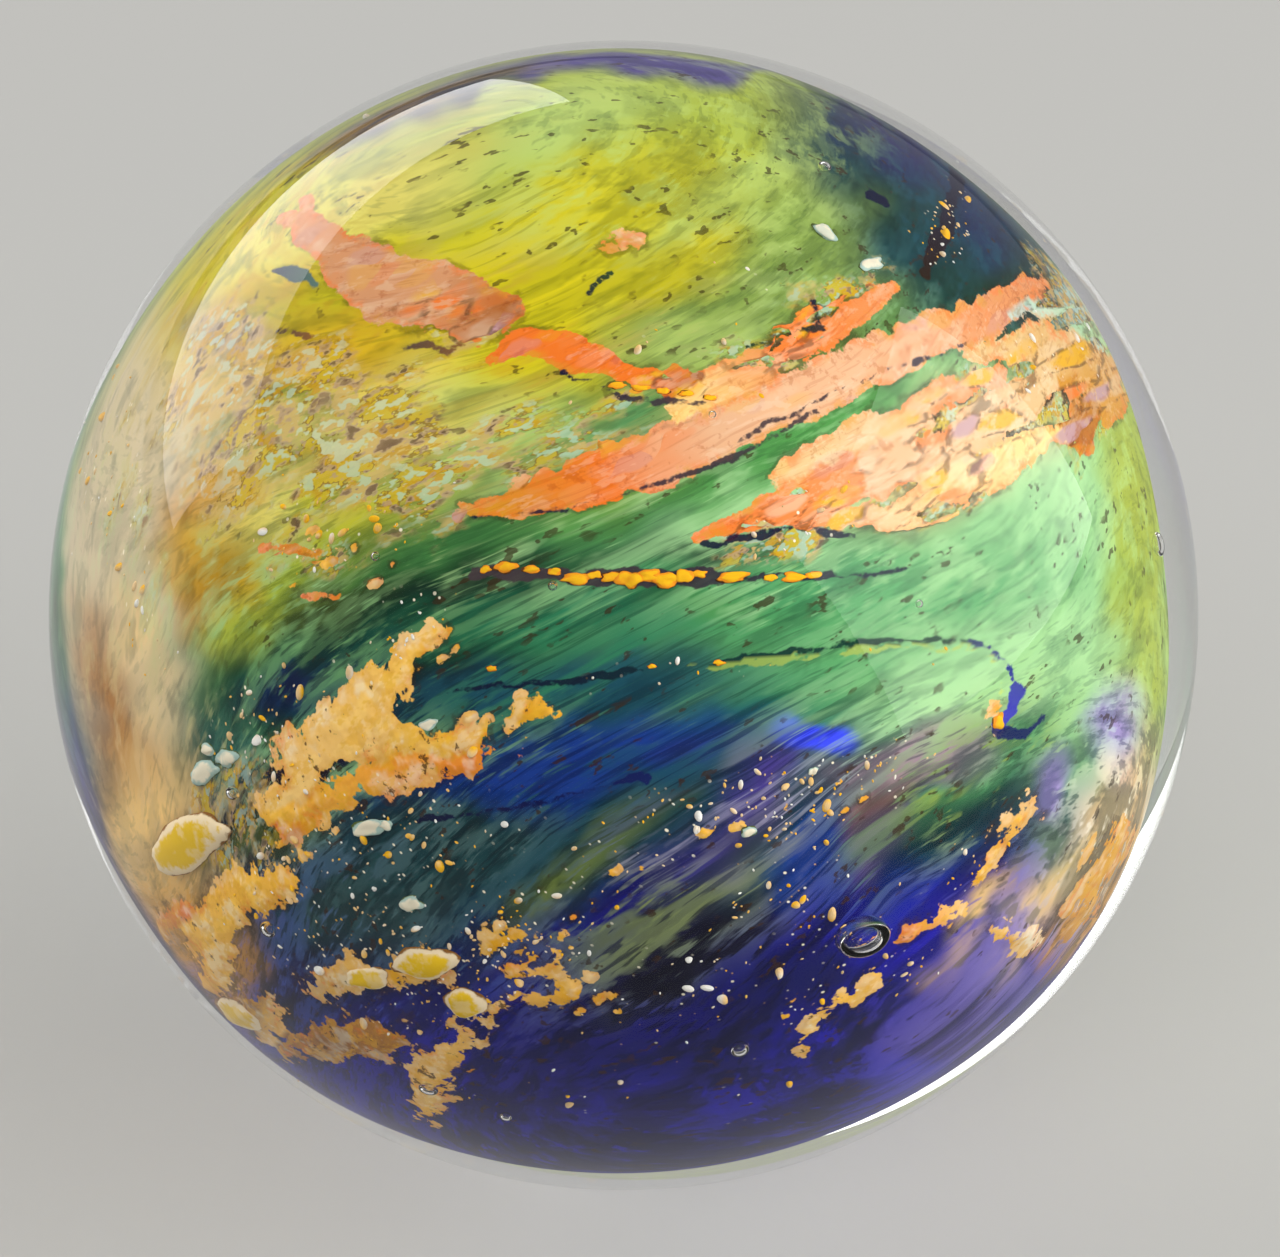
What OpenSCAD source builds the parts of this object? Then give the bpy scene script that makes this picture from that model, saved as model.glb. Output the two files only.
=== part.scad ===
// Glass marble: a ball of coloured glass sealed in clear glass.
// The origin is the marble's centre, +Z is up and -Y is the front.
// Colours lie in the skin of the core: broad fields first, ribbons on them, flakes on top.

/* [Marble] */
// Diameter of the finished marble
marble_d = 38; // [34:0.5:50]

/* [Coloured core] */
// Diameter of the coloured core inside the clear casing
core_d = 24.8; // [22:0.2:28]
// How far the core's centre lies to the right of the marble's centre
core_right = -0.2; // [-1:0.1:1]
// How far the core's centre lies behind the marble's centre
core_back = 0; // [-1:0.1:1]
// How far the core's centre lies above the marble's centre
core_up = 0; // [-1:0.1:1]

/* [Colour fields] */
// Depth of the broad fields of colour in the core's skin
field_t = 1.4; // [0.8:0.1:2]
// Distance from the core's centre to the flat under the cobalt cap
cobalt_edge = 3.2; // [1:0.2:6]
// Angle that the cobalt cap's axis turns away from the front
cobalt_turn = -20; // [-45:5:45]
// Angle that the cobalt cap's axis lifts above the level
cobalt_lift = -60; // [-90:5:-45]

/* [Ribbons and flakes] */
// Depth of the orange ribbons in the core's skin
ribbon_t = 0.9; // [0.5:0.1:1.4]
// Depth of the gold flakes in the core's skin
flake_t = 0.4; // [0.2:0.1:0.8]
// Diameter of one bead in the row of gold beads
bead_d = 0.8; // [0.4:0.1:1]
// Angle from one gold bead to the next, round the core
bead_step = 5; // [5:1:9]
// Number of beads in the row of gold beads
bead_count = 9; // [3:1:12]

/* [Bubbles] */
// Diameter of the one large bubble
large_bubble_d = 1.4; // [0.8:0.1:1.6]
// Diameter of the small bubbles
small_bubble_d = 0.7; // [0.3:0.1:1]
// Glass left between a bubble and the core
bubble_clearance = 0.3; // [0.1:0.1:0.5]

/* [Hidden] */
$fn = 96;
core_centre = [core_right, core_back, core_up];
core_r = core_d / 2;
// One unit of the outlines below, which grow with the core: its radius is 12.2 of them
outline_unit = core_r / 12.2;
// Where a pocket's straight walls start, and how far they run out past the core
pocket_foot = 0.4 * core_r;
pocket_over = 0.1 * core_r;

// Each patch is [turn, lift, outline]: the side of the core that it is laid on, and its outline
// seen from that side, with x to the right and y up
LIME = [
    [-90, 55, [[5.5, -7], [2, -8], [-5, -6.5], [-8, -3], [-8.5, 3], [-4.5, 7.5], [2.5, 8.5], [7, 3], [8, -3]]],
    [120, 5, [[-2, -1], [2, -1.5], [3, 1], [-1, 3]]]];
NAVY = [
    [125, 40, [[-4, -3.5], [0, -5], [4.5, -2], [5, 3], [0, 5], [-3.5, 2]]],
    [-165, 30, [[-7, -1], [-2, -3.5], [5, -3], [7, 1], [3, 4], [-5, 3.5]]]];
ORANGE = [
    [-90, 65, [[-5.5, -4], [-4.5, -2], [-1.5, -1.5], [0.5, 1], [2, 3.2], [3.5, 2.8], [3.5, 1.5], [1.5, -1], [-1.5, -3]]],
    [-10, 65, [[-2.5, 1], [-0.5, 1.6], [1, 1.2], [3.5, 0.2], [1, -0.5], [-1.5, 0]]],
    [35, 60, [[-7.5, 1], [-5.5, 0.4], [-1.5, 0], [2, 0.2], [6, 1.2], [6, -0.2], [1, -1.6], [-2.5, -2], [-6, -1.2], [-7.5, 0]]],
    [65, 35, [[-6.5, 3.2], [-3.5, 3], [-0.5, 2], [4, 0.5], [7, -0.5], [7, -3], [5.5, -2.8], [0, -0.8], [-2.5, 0], [-5, 2.4]]],
    [-140, -15, [[-6, -2], [-2, 0.5], [2, 2], [6, 4], [3, 0.6], [-1, -1.5]]]];
GOLD = [
    [-30, 10, [[0.5, 4], [-0.5, 2.5], [-2, 1], [-4.5, -3], [-3, -3.5], [-1, -2], [1, -1], [3.5, 1], [1.5, 1.5], [0, 1.5]]],
    [-60, -25, [[-2.5, 0], [1, 3.5], [3, 2], [0.5, -0.5], [-1, -3.6], [-3, -3.5]]],
    [-30, -25, [[-2.5, -1], [0, 1.4], [2, 2], [1.5, 0.5], [-0.5, -0.8], [-2.5, -2.5]]],
    [-55, -50, [[-3.5, -1.5], [0, 1], [4, 2.5], [3, 1], [0, -1], [-2.5, -2.5]]],
    [-10, -20, [[-1, 1.5], [1, 2], [1.5, -1], [0, -0.8], [-1, -2]]],
    [45, -25, [[-0.8, 0.6], [1.5, 1.4], [1.8, 0.2], [0, -0.8], [-0.8, -0.4]]],
    [85, -25, [[-3.5, -4], [-2.5, 0], [0, 3.5], [1.2, 3], [0, 0], [-2, -4]]],
    [150, -50, [[-2, -1], [-1, 1.5], [1.5, 2], [2.5, 0], [0, -1.5]]]];
// Turn of the first gold bead and lift of the row
BEAD_ROW = [-19, 35];
// Each bubble is [turn, lift, diameter]
BUBBLES = [
    [35, -19, large_bubble_d],
    [18, -33, small_bubble_d],
    [-28, -52, small_bubble_d],
    [105, -5, small_bubble_d],
    [-75, -12, small_bubble_d],
    [160, 20, small_bubble_d]];

// Turns what is drawn facing up so that it faces out from the core on one side
module face(turn, lift) {
    translate(core_centre) rotate([0, 0, turn]) rotate([90 - lift, 0, 0]) children();
}

module core_ball() {
    translate(core_centre) sphere(r = core_r);
}

// A pocket in the core's skin: as wide as the flat shape given, and one depth all over
module pocket(turn, lift, depth) {
    difference() {
        face(turn, lift) translate([0, 0, pocket_foot]) linear_extrude(core_r - pocket_foot + pocket_over) children();
        translate(core_centre) sphere(r = core_r - depth);
    }
}

module pockets(list, depth) {
    for (patch = list)
        pocket(patch[0], patch[1], depth) polygon(outline_unit * patch[2]);
}

// The room for the cobalt cap, which covers the core's underside
module cap_pocket() {
    difference() {
        face(cobalt_turn, cobalt_lift) translate([0, 0, cobalt_edge]) cylinder(h = core_d, d = 2 * core_d);
        translate(core_centre) sphere(r = core_r - field_t);
    }
}

// The row of gold beads across the front
module bead_pockets() {
    for (i = [0 : bead_count - 1])
        pocket(BEAD_ROW[0] + i * bead_step, BEAD_ROW[1], flake_t) circle(d = bead_d);
}

module gold_pockets() {
    pockets(GOLD, flake_t);
    bead_pockets();
}

module bubbles() {
    for (bubble = BUBBLES)
        face(bubble[0], bubble[1])
            translate([0, 0, core_r + bubble_clearance + bubble[2] / 2]) sphere(d = bubble[2]);
}

module clear_casing() {
    color([0.93, 0.96, 0.97, 0.35]) difference() {
        sphere(d = marble_d);
        core_ball();
        bubbles();
    }
}

module green_core() {
    color("seagreen") difference() {
        core_ball();
        cap_pocket();
        pockets(LIME, field_t);
        pockets(NAVY, field_t);
        pockets(ORANGE, ribbon_t);
        gold_pockets();
    }
}

module lime_glass() {
    color("yellowgreen") difference() {
        intersection() {
            core_ball();
            pockets(LIME, field_t);
        }
        cap_pocket();
        pockets(NAVY, field_t);
        pockets(ORANGE, ribbon_t);
        gold_pockets();
    }
}

module cobalt_glass() {
    color("mediumblue") difference() {
        intersection() {
            core_ball();
            cap_pocket();
        }
        pockets(NAVY, field_t);
        pockets(ORANGE, ribbon_t);
        gold_pockets();
    }
}

module navy_glass() {
    color("midnightblue") difference() {
        intersection() {
            core_ball();
            pockets(NAVY, field_t);
        }
        pockets(ORANGE, ribbon_t);
        gold_pockets();
    }
}

module orange_glass() {
    color("coral") difference() {
        intersection() {
            core_ball();
            pockets(ORANGE, ribbon_t);
        }
        gold_pockets();
    }
}

module gold_flakes() {
    color("goldenrod") intersection() {
        core_ball();
        gold_pockets();
    }
}

clear_casing();
green_core();
lime_glass();
cobalt_glass();
navy_glass();
orange_glass();
gold_flakes();
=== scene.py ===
# %% [markdown]
# # A cased glass marble
# The marble is a ball of coloured glass sealed inside clear glass. A glass maker rolls the hot core in
# crushed colour, drags it into streaks, lays stringers and metal-bearing crusts on it, and gathers clear
# glass over the lot. This lesson builds it the same way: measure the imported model, shape the core, lay
# the colours down as strokes, mix a glass for them, scatter the seeds and case it all in clear glass.

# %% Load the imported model
import math
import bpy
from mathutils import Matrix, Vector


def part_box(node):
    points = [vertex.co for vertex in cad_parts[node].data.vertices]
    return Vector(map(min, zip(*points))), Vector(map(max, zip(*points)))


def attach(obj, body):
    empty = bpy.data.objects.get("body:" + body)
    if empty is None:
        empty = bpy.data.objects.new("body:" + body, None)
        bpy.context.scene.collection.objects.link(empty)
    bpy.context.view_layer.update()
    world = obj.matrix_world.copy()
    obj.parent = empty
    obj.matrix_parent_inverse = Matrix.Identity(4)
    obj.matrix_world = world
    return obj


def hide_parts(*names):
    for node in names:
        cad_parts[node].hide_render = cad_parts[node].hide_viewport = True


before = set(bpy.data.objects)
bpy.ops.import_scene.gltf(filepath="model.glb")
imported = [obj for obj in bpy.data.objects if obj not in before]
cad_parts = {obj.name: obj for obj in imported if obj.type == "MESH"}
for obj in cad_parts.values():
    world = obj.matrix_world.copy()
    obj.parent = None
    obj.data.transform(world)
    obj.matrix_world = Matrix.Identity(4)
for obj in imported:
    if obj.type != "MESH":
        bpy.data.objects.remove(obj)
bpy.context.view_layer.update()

import types

import bmesh
import bpy
import numpy as np
from mathutils import Matrix, Vector

print("nodes", sorted(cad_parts))

# %% [markdown]
# ## Sizes
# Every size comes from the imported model, so nothing is typed twice. The casing's box gives the ball, and
# the box round all the coloured nodes gives the core, which sits a little off the ball's middle.

# %% Measure the ball and its core
COLOURED = ["green_core", "lime_glass", "cobalt_glass", "navy_glass", "orange_glass", "gold_flakes"]

casing_low, casing_high = (np.array(corner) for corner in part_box("clear_casing"))
BALL_RADIUS = float(casing_high[0] - casing_low[0]) / 2
BALL_CENTRE = (casing_low + casing_high) / 2
core_low = np.min([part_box(name)[0] for name in COLOURED], axis=0)
core_high = np.max([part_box(name)[1] for name in COLOURED], axis=0)
CORE_RADIUS = float(core_high[0] - core_low[0]) / 2
CORE_CENTRE = (core_low + core_high) / 2
GLASS_IOR = 1.5
print("ball radius", round(BALL_RADIUS * 1000, 2), "mm, core radius", round(CORE_RADIUS * 1000, 2), "mm")

# %% [markdown]
# ## Where the marble is seen from
# The marble is looked down on from the front. The camera comes first, because the strokes of colour are
# placed by how they look from here, through the clear glass. A long lens from a hand's width or two away
# keeps the ball round. FRAME_ACROSS is the frame's width in radii of the ball's outline, and a small
# shift places the ball in the frame.

# %% Camera
VIEW_LIFT = math.radians(35)
VIEW_DISTANCE = 0.2
FRAME_ACROSS = 2.226087
FRAME_SHIFT = (0.0129, -0.0102)
FILM_WIDTH = 36
NEAREST_SEEN = 0.01

TOWARDS_VIEWER = np.array([0.0, -math.cos(VIEW_LIFT), math.sin(VIEW_LIFT)])
VIEW_RIGHT = np.array([1.0, 0.0, 0.0])
VIEW_UP = np.array([0.0, math.sin(VIEW_LIFT), math.cos(VIEW_LIFT)])
EYE = BALL_CENTRE + TOWARDS_VIEWER * VIEW_DISTANCE
OUTLINE_SLOPE = BALL_RADIUS / math.sqrt(VIEW_DISTANCE ** 2 - BALL_RADIUS ** 2)


def make_camera():
    data = bpy.data.cameras.new("view")
    data.sensor_width = FILM_WIDTH
    data.lens = FILM_WIDTH / (FRAME_ACROSS * OUTLINE_SLOPE)
    data.shift_x, data.shift_y = FRAME_SHIFT
    data.clip_start = NEAREST_SEEN
    camera = bpy.data.objects.new("view", data)
    turn = Matrix((VIEW_RIGHT, VIEW_UP, TOWARDS_VIEWER)).transposed()
    camera.matrix_world = Matrix.Translation(EYE.tolist()) @ turn.to_4x4()
    bpy.context.collection.objects.link(camera)
    bpy.context.scene.camera = camera
    return camera


camera = make_camera()
print("lens", round(camera.data.lens, 1), "mm")

# %% [markdown]
# ## Looking through the clear glass
# A thick ball of clear glass is a lens: it spreads the core until it nearly fills the marble. To lay a
# stroke where it should be seen, each point of the core has to know where it appears. A sight line is
# bent where it enters the glass, by Snell's law, and followed to the core. Places are given in shares of
# the ball's radius, x to the right and y up, so (0, 0) is the middle and a length of 1 is the outline.


# %% Follow sight lines to the core
def lengths(rows):
    """The length of each row, never quite 0, so that it can be divided by."""
    return np.maximum(np.linalg.norm(rows, axis=1, keepdims=True), 1e-9)


def sight_to_core(places):
    """Where sight lines through these places meet the core, as directions from its centre."""
    rays = -TOWARDS_VIEWER + OUTLINE_SLOPE * (places[:, :1] * VIEW_RIGHT + places[:, 1:] * VIEW_UP)
    rays /= lengths(rays)
    start = EYE - BALL_CENTRE
    along = rays @ start
    room = np.maximum(along ** 2 - (start @ start - BALL_RADIUS ** 2), 0)
    entry = start + (-along - np.sqrt(room))[:, None] * rays
    normal = entry / BALL_RADIUS
    cosine = -np.sum(rays * normal, axis=1)
    bend = cosine / GLASS_IOR - np.sqrt(1 - (1 - cosine ** 2) / GLASS_IOR ** 2)
    inside = rays / GLASS_IOR + bend[:, None] * normal
    offset = entry + BALL_CENTRE - CORE_CENTRE
    along = np.sum(offset * inside, axis=1)
    room = np.maximum(along ** 2 - (np.sum(offset ** 2, axis=1) - CORE_RADIUS ** 2), 0)
    hit = offset + (-along - np.sqrt(room))[:, None] * inside
    return hit / lengths(hit)


def angles_from_view(directions):
    """Flattens directions round the viewer's axis: the length is the angle away from that axis."""
    angle = np.arccos(np.clip(directions @ TOWARDS_VIEWER, -1, 1))
    flat = np.stack([directions @ VIEW_RIGHT, directions @ VIEW_UP], axis=1)
    return flat * (angle[:, None] / lengths(flat))


RIM_PLACE = 0.965
HIDDEN_SCALE = 0.35
FIRST_GUESS = 0.5
SEARCH_STEPS = 60
SEARCH_SHARE = 0.17


def within_rim(places):
    return places * np.minimum(1, RIM_PLACE / lengths(places))


def place_seen(directions):
    """Where points of the core appear from the front. Past the rim the places run on outwards."""
    wanted = angles_from_view(directions)
    places = wanted * FIRST_GUESS
    for _ in range(SEARCH_STEPS):
        places = within_rim(places)
        places = places + SEARCH_SHARE * (wanted - angles_from_view(sight_to_core(places)))
    inside = within_rim(places)
    found = angles_from_view(sight_to_core(inside))
    missed = np.linalg.norm(wanted, axis=1) - np.linalg.norm(found, axis=1)
    return inside + inside / lengths(inside) * HIDDEN_SCALE * np.maximum(missed, 0)[:, None]


# %% [markdown]
# ## The core's shape
# The core is a ball, but hand-rolled: it bulges where colour lies thick. A ball made from a cube's six
# faces has even squares and no pinched poles. Its squares are drawn together on the side that faces the
# viewer, where the casing magnifies them.

# %% Shape the core
CORE_SQUARES = 128
FRONT_PULL = 0.3
CORE_SWELL = 0.012


def cube_ball(squares):
    """Directions and faces of a ball made from a cube's faces."""
    mesh = bmesh.new()
    bmesh.ops.create_cube(mesh, size=2)
    bmesh.ops.subdivide_edges(mesh, edges=mesh.edges[:], cuts=squares - 1, use_grid_fill=True)
    corners = np.array([vertex.co[:] for vertex in mesh.verts])
    faces = [[vertex.index for vertex in face.verts] for face in mesh.faces]
    mesh.free()
    directions = np.tan(corners * math.pi / 4)
    return directions / lengths(directions), faces


def pull_forward(directions):
    """Draws directions towards the viewer's axis, most of all where they already face it."""
    turned = directions @ np.stack([VIEW_RIGHT, VIEW_UP, TOWARDS_VIEWER])
    angle = np.arccos(np.clip(turned @ TOWARDS_VIEWER, -1, 1))
    pulled = angle - FRONT_PULL * np.sin(angle)
    flat = turned - (turned @ TOWARDS_VIEWER)[:, None] * TOWARDS_VIEWER
    return flat / lengths(flat) * np.sin(pulled)[:, None] + TOWARDS_VIEWER * np.cos(pulled)[:, None]


def ripples(places, size, seed, count=14):
    """Smooth irregular waves over places, about -1 to 1. size is their usual length."""
    dice = np.random.default_rng(seed)
    ways = dice.normal(size=(count, places.shape[1]))
    ways /= lengths(ways)
    pace = 2 * math.pi / size * dice.uniform(0.6, 1.7, count)
    phase = dice.uniform(0, 2 * math.pi, count)
    return np.sin(places @ (ways.T * pace) + phase).sum(axis=1) * math.sqrt(0.7 / count)


directions, core_faces = cube_ball(CORE_SQUARES)
directions = pull_forward(directions)
seen = place_seen(directions)
seen_right, seen_up = seen.T
print("core points", len(directions), "faces", len(core_faces))


def core_reach(directions):
    """How far the core's skin lies from its centre in each direction."""
    return CORE_RADIUS * (1 + CORE_SWELL * ripples(directions, 1.1, 5))


# %% [markdown]
# ## Paints
# Glass makers name colours by the rod they come from. Each paint here is one such glass, written as a
# plain screen colour and turned into the light values that the renderer works in.


# %% Paints
def paint(code):
    """A screen colour such as 8f9638 as light values."""
    values = np.array([int(code[i:i + 2], 16) / 255 for i in (0, 2, 4)])
    return np.where(values <= 0.04045, values / 12.92, ((values + 0.055) / 1.055) ** 2.4)


def mix_paint(first, last, share=0.5):
    """A paint part of the way from one to another."""
    return first + share * (last - first)


LIME_YELLOW = paint("cdbe16")
GOLDEN = paint("c0921a")
HONEY = paint("c8aa1c")
STRAW = paint("ccac6a")
PALE_YELLOW = paint("e2d670")
SAND = paint("d2c09c")
PALE_LIME = paint("b2c86a")
LIME = paint("a3b23a")
OLIVE = paint("869428")
OLIVE_DARK = paint("4d5a26")
SAGE = paint("7d9645")
PALE_SAGE = paint("9cca8c")
SAGE_DEEP = paint("54985e")
LEAF = paint("4c8c46")
SEA = paint("2c7852")
DEEP_GREEN = paint("0b3324")
TEAL = paint("17495a")
DARK_TEAL = paint("0f3a40")
GREY_TEAL = paint("4a6a68")
NAVY = paint("0e1852")
DEEP_BLUE = paint("143684")
MAUVE = paint("947e88")
INK = paint("07082e")
COBALT = paint("0e067a")
COBALT_BRIGHT = paint("1a12a8")
BRIGHT_BLUE = paint("3a48f0")
BLUE_VIOLET = paint("3a34b4")
VIOLET = paint("463884")
LAVENDER = paint("9c8cc2")
AMBER = paint("d0922a")
AMBER_BROWN = paint("a8702e")
PEACH = paint("dcba84")
CREAM = paint("f2e8cc")
AQUA = paint("b2cdc2")
CHARCOAL = paint("42363a")
ORANGE = paint("e67222")
SALMON = paint("d98a52")
PINK = paint("dcaa82")
RUST = paint("a8622c")
FLESH = paint("cc9064")
GOLD = paint("eab01a")
CRUST = paint("ffc74a")
TAN = paint("f6cc7e")
BROWN = paint("80522a")
WHITE = paint("f4f2ea")

# %% [markdown]
# ## The ground
# Under everything lies the ground: broad, soft fields of glass that run into each other. First the whole
# ball takes bands across one tilted axis, from cobalt below to olive above, so that the sides and the
# back carry on from the front. Then the front is worked over in dabs. A dab is a soft ellipse: its place,
# half-length and half-height in hundredths of the ball's radius, its turn in degrees, its paint, its
# softness, and its strength where it isn't full.

# %% Bands round the whole ball
BAND_AXIS = np.array([-0.17, -0.485, -0.857])
BAND_STOPS = [(-1.0, OLIVE_DARK), (-0.82, NAVY), (-0.66, OLIVE), (-0.38, LIME), (-0.2, SAGE), (-0.02, SEA),
              (0.12, DEEP_GREEN), (0.24, TEAL), (0.36, COBALT), (0.6, INK), (0.75, COBALT), (1.0, NAVY)]


def bands(directions):
    """The ground's colour from the height along the bands' axis, with wandering edges."""
    height = directions @ (BAND_AXIS / np.linalg.norm(BAND_AXIS))
    height = height + 0.09 * ripples(directions, 0.9, 11) + 0.05 * ripples(directions, 0.3, 12)
    stops = [stop for stop, _ in BAND_STOPS]
    colours = np.array([colour for _, colour in BAND_STOPS])
    return np.stack([np.interp(height, stops, colours[:, i]) for i in range(3)], axis=1)


ground = bands(directions)


# %% Dabs of ground colour
def smooth(value, low, high):
    """0 below low, 1 above high, and an even curve between."""
    share = np.clip((value - low) / (high - low), 0, 1)
    return share * share * (3 - 2 * share)


def wobble(places, amount, size, seed):
    """Pushes places about, so that what is laid there has a wandering edge."""
    return places + amount * np.stack([ripples(places, size, seed), ripples(places, size, seed + 1)], axis=1)


front_places = wobble(wobble(seen, 0.022, 0.42, 21), 0.010, 0.13, 23)


def dab(layer, x, y, half_length, half_height, turn, colour, soft, strength=1.0):
    """Lays one soft ellipse of colour into a layer."""
    angle = math.radians(turn)
    dx, dy = front_places[:, 0] - x / 100, front_places[:, 1] - y / 100
    along = (dx * math.cos(angle) + dy * math.sin(angle)) / (half_length / 100)
    across = (dy * math.cos(angle) - dx * math.sin(angle)) / (half_height / 100)
    cover = strength * (1 - smooth(np.hypot(along, across), 1 - soft, 1 + soft * 0.6))
    layer += cover[:, None] * (colour - layer)


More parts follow.
